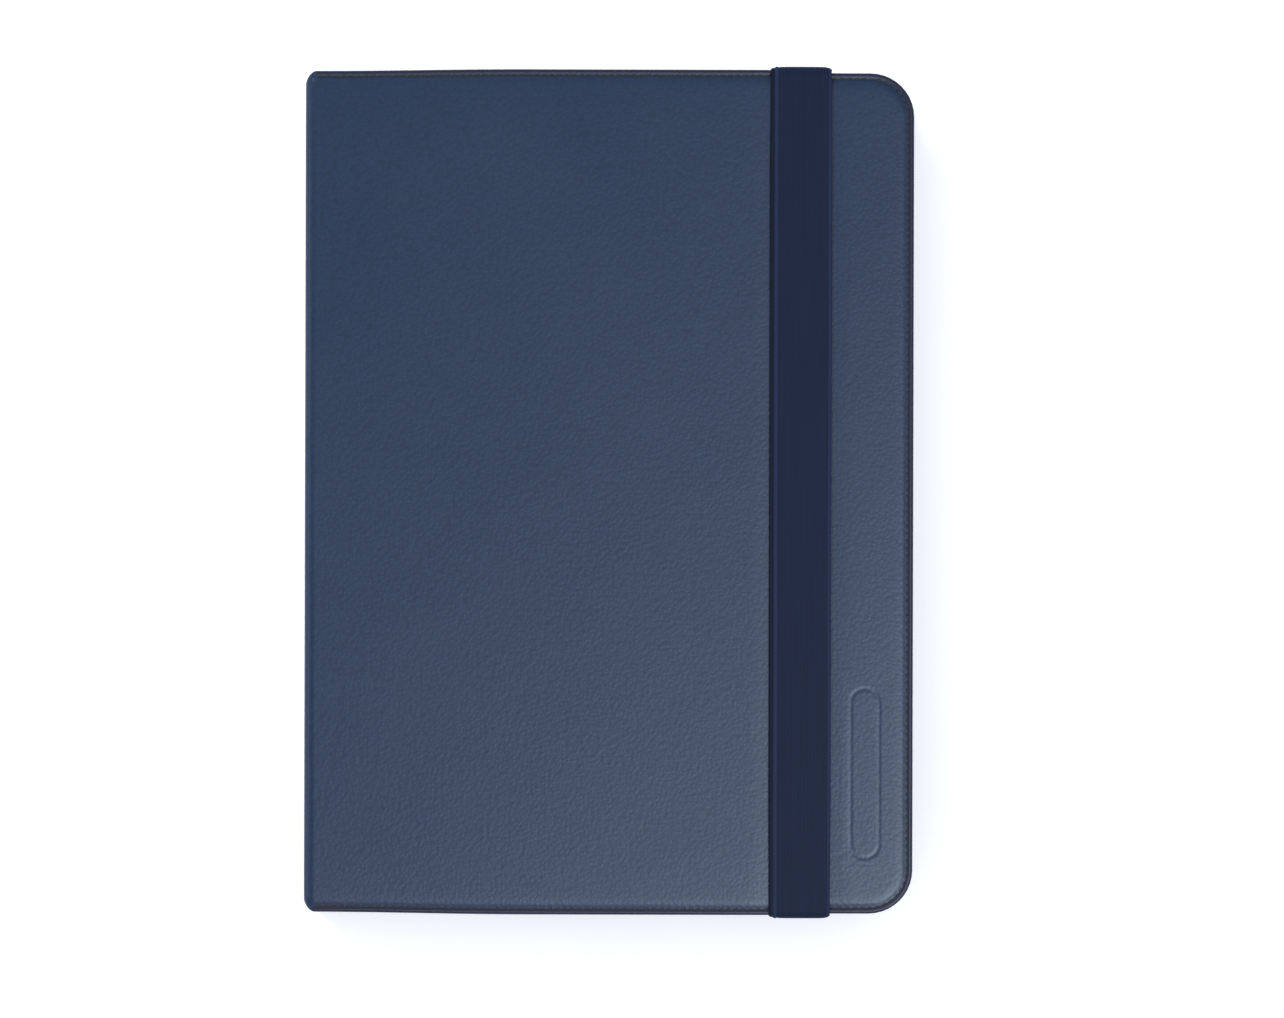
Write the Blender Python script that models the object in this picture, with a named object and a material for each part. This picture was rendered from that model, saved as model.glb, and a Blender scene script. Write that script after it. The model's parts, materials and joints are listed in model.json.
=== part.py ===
"""Tablet keyboard case: a folio with a snap-in tablet cradle, a keyboard on its front cover and a kickstand.

The case is closed and lies on its back cover. The world's origin is the middle of its base, +X runs
from the spine to the fore-edge, +Y along the spine and +Z up. Lengths are metres, written as
millimetres times MM.
"""

import math
from dataclasses import dataclass, replace

import bmesh
import bpy
from mathutils import Matrix, Vector

MM = 0.001

# The tablet, and the room it has in its cradle
TABLET_LENGTH = 240.0 * MM
TABLET_WIDTH = 169.5 * MM
TABLET_THICKNESS = 7.5 * MM
TABLET_CORNER = 9.0 * MM
TABLET_CLEARANCE = 0.3 * MM

# Clearances
FIT = 0.3 * MM  # between pieces that lie on or beside each other
KEYS_TO_CRADLE = 0.5 * MM
OVERCUT = 1.0 * MM  # how far a cutter runs past the face it opens

# Covers: leatherette skin, board and lining
SKIN = 0.8 * MM
BOARD = 1.4 * MM
LINING = 0.5 * MM
SPINE_BOARD = 1.0 * MM
SPINE_LINING = 0.4 * MM
COVER_EDGE = 0.5 * MM  # softened outer edge
FORE_CORNER = 13.0 * MM
SPINE_CORNER = 3.0 * MM
CREASE = 0.6 * MM  # from a hinge line to the cover's own edge
LEAST_RADIUS = 0.2 * MM

# Cradle
CRADLE_FLOOR = 1.2 * MM
CRADLE_WALL = 1.5 * MM
CRADLE_LIP = 0.9 * MM
LIP_REACH = 15.0 * MM
SNAP_BEAD = 0.4 * MM
SPINE_TO_CRADLE = 1.0 * MM
FORE_EDGE_MARGIN = 3.1 * MM
END_MARGIN = 3.2 * MM
NOTCH_SILL = 1.0 * MM
PORT_NOTCH_WIDTH = 40.0 * MM
BUTTON_NOTCH_WIDTH = 50.0 * MM
BUTTON_NOTCH_FROM_END = 55.0 * MM
CAMERA_INSET = 12.0 * MM
CAMERA_HOLE_RADIUS = 5.8 * MM
CAMERA_RING_RADIUS = 7.5 * MM

# Kickstand
STAND_SPINE_MARGIN = 9.0 * MM
STAND_END_MARGIN = 19.0 * MM
STAND_HINGE_X = 6.0 * MM
STAND_RECESS = 0.3 * MM
STAND_BOARD = 1.1 * MM
STAND_GAP = 0.8 * MM
STAND_CORNER = 4.0 * MM
STAND_HINGE_SETBACK = 0.4 * MM
STAND_HINGE_ROOM = 1.4 * MM
STEEL_LENGTH = 120.0 * MM
STEEL_WIDTH = 8.0 * MM
STEEL_THICKNESS = 0.6 * MM
STEEL_FROM_EDGE = 12.0 * MM
TAB_WIDTH = 12.0 * MM
TAB_LENGTH = 10.0 * MM
TAB_THICKNESS = 0.6 * MM
TAB_OVERHANG = 6.5 * MM

# Elastic band
BAND_WIDTH = 18.3 * MM
BAND_FROM_FORE_EDGE = 24.3 * MM
BAND_THICKNESS = 0.7 * MM
BAND_BEND = 2.0 * MM
BAND_END_HEIGHT = 0.6 * MM
BAND_TAIL = 12.0 * MM

# Keyboard body
KEYBOARD_FROM_SPINE = 28.0 * MM
KEYBOARD_FROM_FORE_EDGE = 12.0 * MM
KEYBOARD_FROM_END = 6.0 * MM
KEYBOARD_CORNER = 6.0 * MM
KEYBOARD_EDGE = 0.6 * MM
KEYBOARD_WALL = 1.2 * MM
DECK = 1.2 * MM
KEYBOARD_BOTTOM = 1.3 * MM
STACK_TO_BOTTOM = 0.4 * MM  # from the key stack's support plate to the bottom plate
TAPE_INSET = 12.0 * MM
INDICATOR_STRIP = 16.0 * MM
PALM_STRIP = 36.0 * MM
END_BORDER = 5.0 * MM

# Keys
KEY_COLUMNS = 15
KEY_GAP = 1.9 * MM
FUNCTION_ROW_SHARE = 0.6
KEY_PROUD = 1.5 * MM
KEY_CAP = 2.0 * MM
KEY_WEB = 0.5 * MM
KEY_TAPER = 0.5 * MM
KEY_SIDE_CLEARANCE = 0.4 * MM
KEY_TRAVEL = 1.3 * MM
KEY_PLATE_MARGIN = 1.0 * MM
DOME_SHEET = 0.3 * MM
CONTACT_SHEET = 0.2 * MM
SUPPORT_PLATE = 0.4 * MM

# Keyboard electronics and fixings
MAIN_BOARD_THICKNESS = 0.6 * MM
MAIN_BOARD_WIDTH = 10.5 * MM
MAIN_BOARD_START = 12.0 * MM
SOCKET_WIDTH = 7.6 * MM
SOCKET_HEIGHT = 2.4 * MM
SOCKET_DEPTH = 5.6 * MM
SOCKET_WALL = 0.4 * MM
BATTERY_WIDTH = 26.0 * MM
BATTERY_LENGTH = 62.0 * MM
BATTERY_THICKNESS = 2.6 * MM
BATTERY_Y = 43.0 * MM
SWITCH_Y = 70.0 * MM
SWITCH_KNOB_LENGTH = 5.0 * MM
SWITCH_KNOB_WIDTH = 3.0 * MM
SWITCH_TRAVEL = 2.5 * MM
CONNECT_Y = 52.0 * MM
CONNECT_RADIUS = 1.8 * MM
CONNECT_TRAVEL = 0.5 * MM
KNOB_PROUD = 0.5 * MM
BASE_SIDE = 5.2 * MM
LED_RADIUS = 0.8 * MM
LED_PITCH = 7.0 * MM
LED_FIRST_Y = 36.0 * MM
SCREW_THREAD_RADIUS = 0.8 * MM
SCREW_HEAD_RADIUS = 1.6 * MM
SCREW_HEAD = 0.5 * MM
SCREW_LENGTH = 3.2 * MM
SCREW_INSET = 6.0 * MM
BOSS_RADIUS = 2.2 * MM
MAGNET_RADIUS = 4.0 * MM
MAGNET_THICKNESS = 1.0 * MM
MAGNET_INSET = 22.0 * MM

# Worked out from the values above: plan
CRADLE_LENGTH = TABLET_LENGTH + 2 * (TABLET_CLEARANCE + CRADLE_WALL)
CRADLE_WIDTH = TABLET_WIDTH + 2 * (TABLET_CLEARANCE + CRADLE_WALL)
SPINE_THICKNESS = SKIN + FIT + SPINE_BOARD + FIT + SPINE_LINING
CASE_LENGTH = CRADLE_LENGTH + 2 * END_MARGIN
CASE_WIDTH = SPINE_THICKNESS + SPINE_TO_CRADLE + CRADLE_WIDTH + FORE_EDGE_MARGIN
END_Y = CASE_LENGTH / 2
SPINE_X = -CASE_WIDTH / 2
FORE_X = CASE_WIDTH / 2
HINGE_X = SPINE_X + SPINE_THICKNESS / 2
COVER_X = HINGE_X + CREASE
CRADLE_X = SPINE_X + SPINE_THICKNESS + SPINE_TO_CRADLE
BAND_X1 = FORE_X - BAND_FROM_FORE_EDGE
BAND_X0 = BAND_X1 - BAND_WIDTH
BAND_X = (BAND_X0 + BAND_X1) / 2
CAMERA_X = CRADLE_X + CRADLE_WIDTH - CRADLE_WALL - CAMERA_INSET
CAMERA_Y = CRADLE_LENGTH / 2 - CRADLE_WALL - CAMERA_INSET
KEYBOARD_X0 = COVER_X + KEYBOARD_FROM_SPINE
KEYBOARD_X1 = FORE_X - KEYBOARD_FROM_FORE_EDGE
KEYBOARD_Y = END_Y - KEYBOARD_FROM_END
FIELD_X0 = KEYBOARD_X0 + INDICATOR_STRIP
FIELD_X1 = KEYBOARD_X1 - PALM_STRIP
FIELD_Y = KEYBOARD_Y - END_BORDER
INDICATOR_X = KEYBOARD_X0 + INDICATOR_STRIP / 2
PALM_X = (FIELD_X1 + KEYBOARD_X1 - KEYBOARD_WALL) / 2
ROW_PITCH = (FIELD_X1 - FIELD_X0) / (5 + FUNCTION_ROW_SHARE)
KEY_UNIT = 2 * FIELD_Y / KEY_COLUMNS

# Worked out from the values above: heights
COVER_THICKNESS = SKIN + FIT + BOARD + FIT + LINING
REAR_AXIS_Z = COVER_THICKNESS / 2
CRADLE_Z = COVER_THICKNESS + FIT
CRADLE_FLOOR_Z = CRADLE_Z + CRADLE_FLOOR
LIP_Z = CRADLE_FLOOR_Z + TABLET_THICKNESS + TABLET_CLEARANCE
CRADLE_TOP = LIP_Z + CRADLE_LIP
KEY_TOP_Z = CRADLE_TOP + KEYS_TO_CRADLE
DECK_Z = KEY_TOP_Z + KEY_PROUD
DECK_BACK_Z = DECK_Z + DECK
STACK_Z = KEY_TOP_Z + KEY_CAP + KEY_WEB + KEY_TRAVEL + FIT
BOTTOM_Z = STACK_Z + DOME_SHEET + FIT + CONTACT_SHEET + FIT + SUPPORT_PLATE + STACK_TO_BOTTOM
RIM_Z = BOTTOM_Z - FIT
KEYBOARD_BACK_Z = BOTTOM_Z + KEYBOARD_BOTTOM
FRONT_Z = KEYBOARD_BACK_Z + FIT
FRONT_TOP_Z = FRONT_Z + COVER_THICKNESS
FRONT_AXIS_Z = FRONT_Z + COVER_THICKNESS / 2
STAND_BOARD_Z = STAND_RECESS + SKIN + FIT
STAND_TOP_Z = STAND_BOARD_Z + STAND_BOARD
STAND_AXIS_Z = (STAND_RECESS + STAND_TOP_Z) / 2


@dataclass(frozen=True)
class Finish:
    """A plain surface: linear colour, roughness and metallic value."""

    colour: tuple
    roughness: float
    metallic: float = 0.0


FINISHES = {
    "leatherette": Finish((0.045, 0.068, 0.118), 0.55),
    "board": Finish((0.12, 0.115, 0.105), 0.9),
    "microfibre": Finish((0.030, 0.036, 0.050), 0.95),
    "elastic": Finish((0.020, 0.027, 0.051), 0.85),
    "cradle_plastic": Finish((0.022, 0.026, 0.035), 0.45),
    "deck_plastic": Finish((0.030, 0.033, 0.040), 0.4),
    "case_plastic": Finish((0.024, 0.026, 0.032), 0.5),
    "key_plastic": Finish((0.018, 0.019, 0.023), 0.5),
    "steel": Finish((0.55, 0.55, 0.56), 0.3, 1.0),
    "magnet": Finish((0.35, 0.35, 0.36), 0.35, 1.0),
    "silicone": Finish((0.32, 0.34, 0.36), 0.6),
    "film": Finish((0.55, 0.58, 0.56), 0.35),
    "circuit": Finish((0.010, 0.085, 0.035), 0.45),
    "battery": Finish((0.50, 0.51, 0.52), 0.35),
    "tape": Finish((0.60, 0.59, 0.55), 0.7),
    "lamp": Finish((0.75, 0.78, 0.80), 0.2),
}


@dataclass(frozen=True)
class Panel:
    """A rounded rectangle in plan. The left corners are the spine side's."""

    x0: float
    x1: float
    y0: float
    y1: float
    left: float = 1.0 * MM
    right: float = 1.0 * MM
    steps: int = 4

    def inset(self, by):
        """The same outline moved inwards, its corners staying concentric."""
        return replace(
            self,
            x0=self.x0 + by,
            x1=self.x1 - by,
            y0=self.y0 + by,
            y1=self.y1 - by,
            left=max(self.left - by, LEAST_RADIUS),
            right=max(self.right - by, LEAST_RADIUS),
        )

    def ring(self, z):
        """The outline's points at height z, anticlockwise from above."""
        corners = (
            (self.x1 - self.right, self.y0 + self.right, self.right, -90),
            (self.x1 - self.right, self.y1 - self.right, self.right, 0),
            (self.x0 + self.left, self.y1 - self.left, self.left, 90),
            (self.x0 + self.left, self.y0 + self.left, self.left, 180),
        )
        points = []
        for x, y, radius, start in corners:
            for step in range(self.steps + 1):
                angle = math.radians(start + 90 * step / self.steps)
                points.append(Vector((x + radius * math.cos(angle), y + radius * math.sin(angle), z)))
        return points


def circle(x, y, radius, z, sides):
    """Points of a circle in plan at height z."""
    turns = (2 * math.pi * side / sides for side in range(sides))
    return [Vector((x + radius * math.cos(turn), y + radius * math.sin(turn), z)) for turn in turns]


def loft(bm, rings, closed=False):
    """Adds a body through rings of equal length: capped at both ends, or joined end to start."""
    rows = [[bm.verts.new(point) for point in ring] for ring in rings]
    pairs = list(zip(rows, rows[1:]))
    if closed:
        pairs.append((rows[-1], rows[0]))
    for low, high in pairs:
        for index in range(len(low)):
            after = (index + 1) % len(low)
            bm.faces.new((low[index], low[after], high[after], high[index]))
    if not closed:
        bm.faces.new(rows[0])
        bm.faces.new(rows[-1])


def plate(bm, panel, z0, z1, edge=0.0):
    """A flat plate from z0 to z1; edge softens the rim of the z0 face."""
    way = math.copysign(edge, z1 - z0)
    rings = [panel.ring(z0 + way), panel.ring(z1)]
    if edge:
        rings.insert(0, panel.inset(edge).ring(z0))
    loft(bm, rings)


def tray(bm, panel, z_face, z_rim, wall, floor, edge):
    """A shallow tray: its floor's outer face is at z_face and its rim at z_rim."""
    way = math.copysign(1.0, z_rim - z_face)
    inner = panel.inset(wall)
    loft(
        bm,
        [
            panel.inset(edge).ring(z_face),
            panel.ring(z_face + way * edge),
            panel.ring(z_rim),
            inner.ring(z_rim),
            inner.ring(z_face + way * floor),
        ],
    )


def block(bm, x0, x1, y0, y1, z0, z1):
    """A plain box between two corners."""
    loft(bm, [[Vector((x, y, z)) for x, y in ((x0, y0), (x1, y0), (x1, y1), (x0, y1))] for z in (z0, z1)])


def drum(bm, x, y, radius, z0, z1, sides=16):
    """A cylinder that stands on the plan."""
    loft(bm, [circle(x, y, radius, z0, sides), circle(x, y, radius, z1, sides)])


def shape(build, *args, **kwargs):
    """A new bmesh holding what build makes."""
    bm = bmesh.new()
    build(bm, *args, **kwargs)
    return bm


def make_material(name):
    """The Principled material of one finish, made once."""
    material = bpy.data.materials.get(name)
    if material:
        return material
    finish = FINISHES[name]
    material = bpy.data.materials.new(name)
    material.use_nodes = True
    shader = material.node_tree.nodes["Principled BSDF"]
    shader.inputs["Base Color"].default_value = (*finish.colour, 1.0)
    shader.inputs["Roughness"].default_value = finish.roughness
    shader.inputs["Metallic"].default_value = finish.metallic
    material.diffuse_color = (*finish.colour, 1.0)
    return material


class Body:
    """A rigid body: an empty on its joint's axis, with the pieces parented to it."""

    def __init__(self, name, at, parent=None):
        self.at = Vector(at)
        self.empty = bpy.data.objects.new(name, None)
        self.empty.empty_display_size = 10 * MM
        self.empty.location = self.at - parent.at if parent else self.at
        self.empty.parent = parent.empty if parent else None
        bpy.context.scene.collection.objects.link(self.empty)

    def add(self, name, bm, finish):
        """Makes an object of a bmesh in world coordinates; its origin is the middle of its box."""
        bmesh.ops.recalc_face_normals(bm, faces=bm.faces)
        low = Vector([min(v.co[axis] for v in bm.verts) for axis in range(3)])
        high = Vector([max(v.co[axis] for v in bm.verts) for axis in range(3)])
        middle = (low + high) / 2
        bmesh.ops.translate(bm, vec=-middle, verts=bm.verts)
        mesh = bpy.data.meshes.new(name)
        bm.to_mesh(mesh)
        bm.free()
        if finish:
            mesh.materials.append(make_material(finish))
            mesh.shade_smooth()
            mesh.set_sharp_from_angle(angle=math.radians(32))
        obj = bpy.data.objects.new(name, mesh)
        obj.parent = self.empty
        obj.location = middle - self.at
        bpy.context.scene.collection.objects.link(obj)
        return obj

    def change(self, obj, bm, operation="DIFFERENCE"):
        """Cuts a bmesh in world coordinates from obj, or joins it on."""
        tool = self.add(f"{obj.name}_{operation.lower()}_{len(obj.modifiers)}", bm, None)
        tool.hide_render = True
        tool.display_type = "WIRE"
        modifier = obj.modifiers.new(tool.name, "BOOLEAN")
        modifier.object = tool
        modifier.operation = operation
        modifier.solver = "EXACT"


@dataclass(frozen=True)
class KeyGroup:
    """Keys of one row that share a carrier; start and widths are in key units from the +Y end."""

    name: str
    row: int
    start: float
    widths: tuple


KEY_GROUPS = (
    KeyGroup("function_keys", 0, 0.0, (1.0,) * 15),
    KeyGroup("number_keys", 1, 0.0, (1.0,) * 13),
    KeyGroup("backspace_key", 1, 13.0, (2.0,)),
    KeyGroup("upper_letter_keys", 2, 0.0, (1.5,) + (1.0,) * 12 + (1.5,)),
    KeyGroup("home_letter_keys", 3, 0.0, (1.75,) + (1.0,) * 11),
    KeyGroup("enter_key", 3, 12.75, (2.25,)),
    KeyGroup("left_shift_key", 4, 0.0, (2.25,)),
    KeyGroup("lower_letter_keys", 4, 2.25, (1.0,) * 10),
    KeyGroup("right_shift_key", 4, 12.25, (1.75,)),
    KeyGroup("up_arrow_key", 4, 14.0, (1.0,)),
    KeyGroup("control_keys", 5, 0.0, (1.25, 1.0, 1.0, 1.25)),
    KeyGroup("space_bar", 5, 4.5, (5.5,)),
    KeyGroup("arrow_keys", 5, 10.0, (1.0,) * 5),
)


def row_span(row):
    """The lowest and highest x of a row's keycaps; row 0 is the narrow function row."""
    start = FIELD_X0 + (FUNCTION_ROW_SHARE + row - 1) * ROW_PITCH * (row > 0)
    depth = ROW_PITCH * (1.0 if row else FUNCTION_ROW_SHARE)
    return start + KEY_GAP / 2, start + depth - KEY_GAP / 2


def screw_places():
    """Plan positions of the keyboard's five screws."""
    spine_side = KEYBOARD_X0 + SCREW_INSET
    palm_side = KEYBOARD_X1 - SCREW_INSET
    end = KEYBOARD_Y - SCREW_INSET
    return ((spine_side, -end), (spine_side, 0.0), (palm_side, -end), (palm_side, 0.0), (palm_side, end))


def cover_panel():
    return Panel(COVER_X, FORE_X, -END_Y, END_Y, SPINE_CORNER, FORE_CORNER)


def inner_panel():
    """Outline of what lies inside a cover's turned-over skin."""
    return cover_panel().inset(SKIN + FIT)


def stand_window():
    """The opening in the back cover that holds the kickstand panel."""
    return Panel(
        COVER_X + STAND_SPINE_MARGIN,
        STAND_HINGE_X + STAND_HINGE_ROOM,
        -END_Y + STAND_END_MARGIN,
        END_Y - STAND_END_MARGIN,
        STAND_CORNER,
        LEAST_RADIUS,
        2,
    )


def stand_panel():
    """The kickstand panel: the window's outline less its gap, ending just short of the hinge line."""
    return replace(stand_window().inset(STAND_GAP), x1=STAND_HINGE_X - STAND_HINGE_SETBACK)


def steel_panel():
    """Plan of the kickstand's steel strip and of the magnet strip over it."""
    x0 = stand_panel().x0 + STEEL_FROM_EDGE
    return Panel(x0, x0 + STEEL_WIDTH, -STEEL_LENGTH / 2, STEEL_LENGTH / 2, steps=2)


def tab_notch(x0, x1):
    """Cutter that makes room for the pull tab from below."""
    half = TAB_WIDTH / 2 + FIT
    return shape(block, x0, x1, -half, half, -OVERCUT, STAND_RECESS + SKIN + FIT / 2)


def build_back_cover(back):
    """Skin, board, lining and camera trim of the back cover."""
    window = stand_window()
    skin = back.add(
        "back_cover_skin",
        shape(tray, cover_panel(), 0.0, COVER_THICKNESS, SKIN, SKIN, COVER_EDGE),
        "leatherette",
    )
    board = back.add("back_cover_board", shape(plate, inner_panel(), SKIN + FIT, SKIN + FIT + BOARD), "board")
    lining = back.add(
        "back_cover_lining",
        shape(plate, inner_panel(), COVER_THICKNESS - LINING, COVER_THICKNESS),
        "microfibre",
    )
    for piece in (skin, board):
        back.change(piece, shape(plate, window, -OVERCUT, SKIN + FIT + BOARD + FIT / 2))
    tab_end = stand_panel().x0 - TAB_OVERHANG
    back.change(skin, tab_notch(tab_end - FIT, window.x0 + OVERCUT))
    for piece in (skin, board, lining):
        hole = shape(
            drum, CAMERA_X, CAMERA_Y, CAMERA_RING_RADIUS + FIT, -OVERCUT, COVER_THICKNESS + OVERCUT, 20
        )
        back.change(piece, hole)
    lining_z = COVER_THICKNESS - LINING
    strip_slot = steel_panel().inset(-FIT)
    back.change(lining, shape(plate, strip_slot, lining_z - OVERCUT, COVER_THICKNESS + OVERCUT))
    ring = bmesh.new()
    spans = ((CAMERA_RING_RADIUS, STAND_RECESS), (CAMERA_RING_RADIUS, COVER_THICKNESS))
    spans += ((CAMERA_HOLE_RADIUS, COVER_THICKNESS), (CAMERA_HOLE_RADIUS, STAND_RECESS))
    loft(ring, [circle(CAMERA_X, CAMERA_Y, radius, z, 20) for radius, z in spans], closed=True)
    back.add("camera_ring", ring, "cradle_plastic")
    back.add("stand_magnet_strip", shape(plate, steel_panel(), lining_z, COVER_THICKNESS), "magnet")
    build_band_tails(back, board)


def build_band_tails(back, board):
    """The band's sewn-in ends, each in a notch of the back board."""
    tail_z = SKIN + FIT + (BOARD - BAND_THICKNESS) / 2
    outer = END_Y - SKIN - FIT
    for side, name in ((1, "band_tail_top"), (-1, "band_tail_bottom")):
        low, high = sorted((side * outer, side * (outer - BAND_TAIL)))
        tail = Panel(BAND_X0 + FIT, BAND_X1 - FIT, low, high, steps=2)
        notch = replace(tail.inset(-FIT), left=LEAST_RADIUS, right=LEAST_RADIUS, steps=1)
        open_end = {"y1": END_Y} if side > 0 else {"y0": -END_Y}
        back.change(board, shape(plate, replace(notch, **open_end), 0.0, SKIN + BOARD + OVERCUT))
        back.add(name, shape(plate, tail, tail_z, tail_z + BAND_THICKNESS), "elastic")


def build_cradle(back):
    """The snap-in tray: a floor, four walls with a snap bead, and a lip over each tablet corner."""
    outer = Panel(
        CRADLE_X,
        CRADLE_X + CRADLE_WIDTH,
        -CRADLE_LENGTH / 2,
        CRADLE_LENGTH / 2,
        TABLET_CORNER + CRADLE_WALL,
        TABLET_CORNER + CRADLE_WALL,
    )
    pocket = outer.inset(CRADLE_WALL)
    mouth = replace(pocket.inset(SNAP_BEAD), left=LIP_REACH, right=LIP_REACH, steps=1)
    cradle = back.add("tablet_cradle", shape(plate, outer, CRADLE_Z, CRADLE_TOP), "cradle_plastic")
    back.change(cradle, shape(plate, pocket, CRADLE_FLOOR_Z, LIP_Z))
    back.change(cradle, shape(plate, mouth, LIP_Z - CRADLE_LIP, CRADLE_TOP + OVERCUT))
    sill = CRADLE_FLOOR_Z + NOTCH_SILL
    top = CRADLE_TOP + OVERCUT
    middle = CRADLE_X + CRADLE_WIDTH / 2
    half_port = PORT_NOTCH_WIDTH / 2
    cuts = bmesh.new()
    block(cuts, middle - half_port, middle + half_port, outer.y0 - OVERCUT, pocket.y0 + OVERCUT, sill, top)
    button_y = outer.y1 - BUTTON_NOTCH_FROM_END
    block(
        cuts, pocket.x1 - OVERCUT, outer.x1 + OVERCUT, button_y - BUTTON_NOTCH_WIDTH / 2,
        button_y + BUTTON_NOTCH_WIDTH / 2, sill, top,
    )
    drum(cuts, CAMERA_X, CAMERA_Y, CAMERA_HOLE_RADIUS, CRADLE_Z - OVERCUT, CRADLE_FLOOR_Z + OVERCUT, 20)
    back.change(cradle, cuts)


def build_stand(stand):
    """The kickstand panel, flush in the back cover."""
    panel = stand_panel()
    inner = panel.inset(SKIN + FIT)
    skin = stand.add(
        "stand_skin", shape(tray, panel, STAND_RECESS, STAND_TOP_Z, SKIN, SKIN, COVER_EDGE / 2), "leatherette"
    )
    board = stand.add("stand_board", shape(plate, inner, STAND_BOARD_Z, STAND_TOP_Z), "board")
    tab_x0 = panel.x0 - TAB_OVERHANG
    stand.change(skin, tab_notch(panel.x0 - OVERCUT, tab_x0 + TAB_LENGTH + FIT))
    stand.change(board, shape(plate, steel_panel().inset(-FIT), 0.0, STAND_TOP_Z + OVERCUT))
    stand.add(
        "stand_steel_strip",
        shape(plate, steel_panel(), STAND_TOP_Z - STEEL_THICKNESS, STAND_TOP_Z),
        "steel",
    )
    tab = Panel(tab_x0, tab_x0 + TAB_LENGTH, -TAB_WIDTH / 2, TAB_WIDTH / 2, TAB_WIDTH / 4, LEAST_RADIUS, 3)
    stand.add("stand_pull_tab", shape(plate, tab, STAND_RECESS, STAND_RECESS + TAB_THICKNESS), "elastic")


def build_band(band):
    """The elastic band: up one short edge of the closed case, across the front and down the other."""

    def path(offset):
        """Half of the band's line, offset outwards from its inner face."""
        side = END_Y + FIT + offset
        top = FRONT_TOP_Z + FIT + offset
        radius = BAND_BEND - BAND_THICKNESS + offset
        points = [(side, BAND_END_HEIGHT)]
        for step in range(5):
            angle = math.radians(90 * step / 4)
            points.append((side - radius + radius * math.cos(angle), top - radius + radius * math.sin(angle)))
        return points

    inner = path(0.0)
    outer = path(BAND_THICKNESS)
    outline = outer + [(-y, z) for y, z in reversed(outer)] + [(-y, z) for y, z in inner] + inner[::-1]
    band.add(
        "elastic_band",
        shape(loft, [[Vector((x, y, z)) for y, z in outline] for x in (BAND_X0, BAND_X1)]),
        "elastic",
    )


def build_spine(spine):
    """Skin, board and lining of the spine, made flat like a cover and then turned upright."""
    height = FRONT_Z - COVER_THICKNESS - 2 * FIT
    panel = Panel(-height / 2, height / 2, -END_Y, END_Y, LEAST_RADIUS, LEAST_RADIUS, 1)
    inner = panel.inset(SKIN + FIT)
    board_z = SKIN + FIT
    layers = (
        ("spine_skin", shape(tray, panel, 0.0, SPINE_THICKNESS, SKIN, SKIN, COVER_EDGE), "leatherette"),
        ("spine_board", shape(plate, inner, board_z, board_z + SPINE_BOARD), "board"),
        ("spine_lining", shape(plate, inner, SPINE_THICKNESS - SPINE_LINING, SPINE_THICKNESS), "microfibre"),
    )
    upright = Matrix.Translation((SPINE_X, 0, (COVER_THICKNESS + FRONT_Z) / 2))
    upright @= Matrix.Rotation(math.radians(90), 4, "Y")
    for name, bm, finish in layers:
        bmesh.ops.transform(bm, matrix=upright, verts=bm.verts)
        spine.add(name, bm, finish)


def build_front_cover(front):
    """Skin, board and lining of the front cover, its sleep magnet and the keyboard's tape."""
    front.add(
        "front_cover_skin",
        shape(tray, cover_panel(), FRONT_TOP_Z, FRONT_Z, SKIN, SKIN, COVER_EDGE),
        "leatherette",
    )
    board_z = FRONT_Z + LINING + FIT
    inner = inner_panel()
    board = front.add("front_cover_board", shape(plate, inner, board_z, board_z + BOARD), "board")
    lining = front.add("front_cover_lining", shape(plate, inner, FRONT_Z, FRONT_Z + LINING), "microfibre")
    tape = Panel(KEYBOARD_X0, KEYBOARD_X1, -KEYBOARD_Y, KEYBOARD_Y, steps=2).inset(TAPE_INSET)
    front.change(lining, shape(plate, tape.inset(-FIT), FRONT_Z - OVERCUT, FRONT_Z + LINING + OVERCUT))
    front.add("keyboard_tape", shape(plate, tape, FRONT_Z, FRONT_Z + LINING), "tape")
    magnet_x = FORE_X - MAGNET_INSET
    magnet_y = MAGNET_INSET - END_Y
    front.change(board, shape(drum, magnet_x, magnet_y, MAGNET_RADIUS + FIT, board_z - OVERCUT, FRONT_TOP_Z))
    magnet_z = board_z + (BOARD - MAGNET_THICKNESS) / 2
    front.add(
        "sleep_magnet",
        shape(drum, magnet_x, magnet_y, MAGNET_RADIUS, magnet_z, magnet_z + MAGNET_THICKNESS),
        "magnet",
    )


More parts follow.
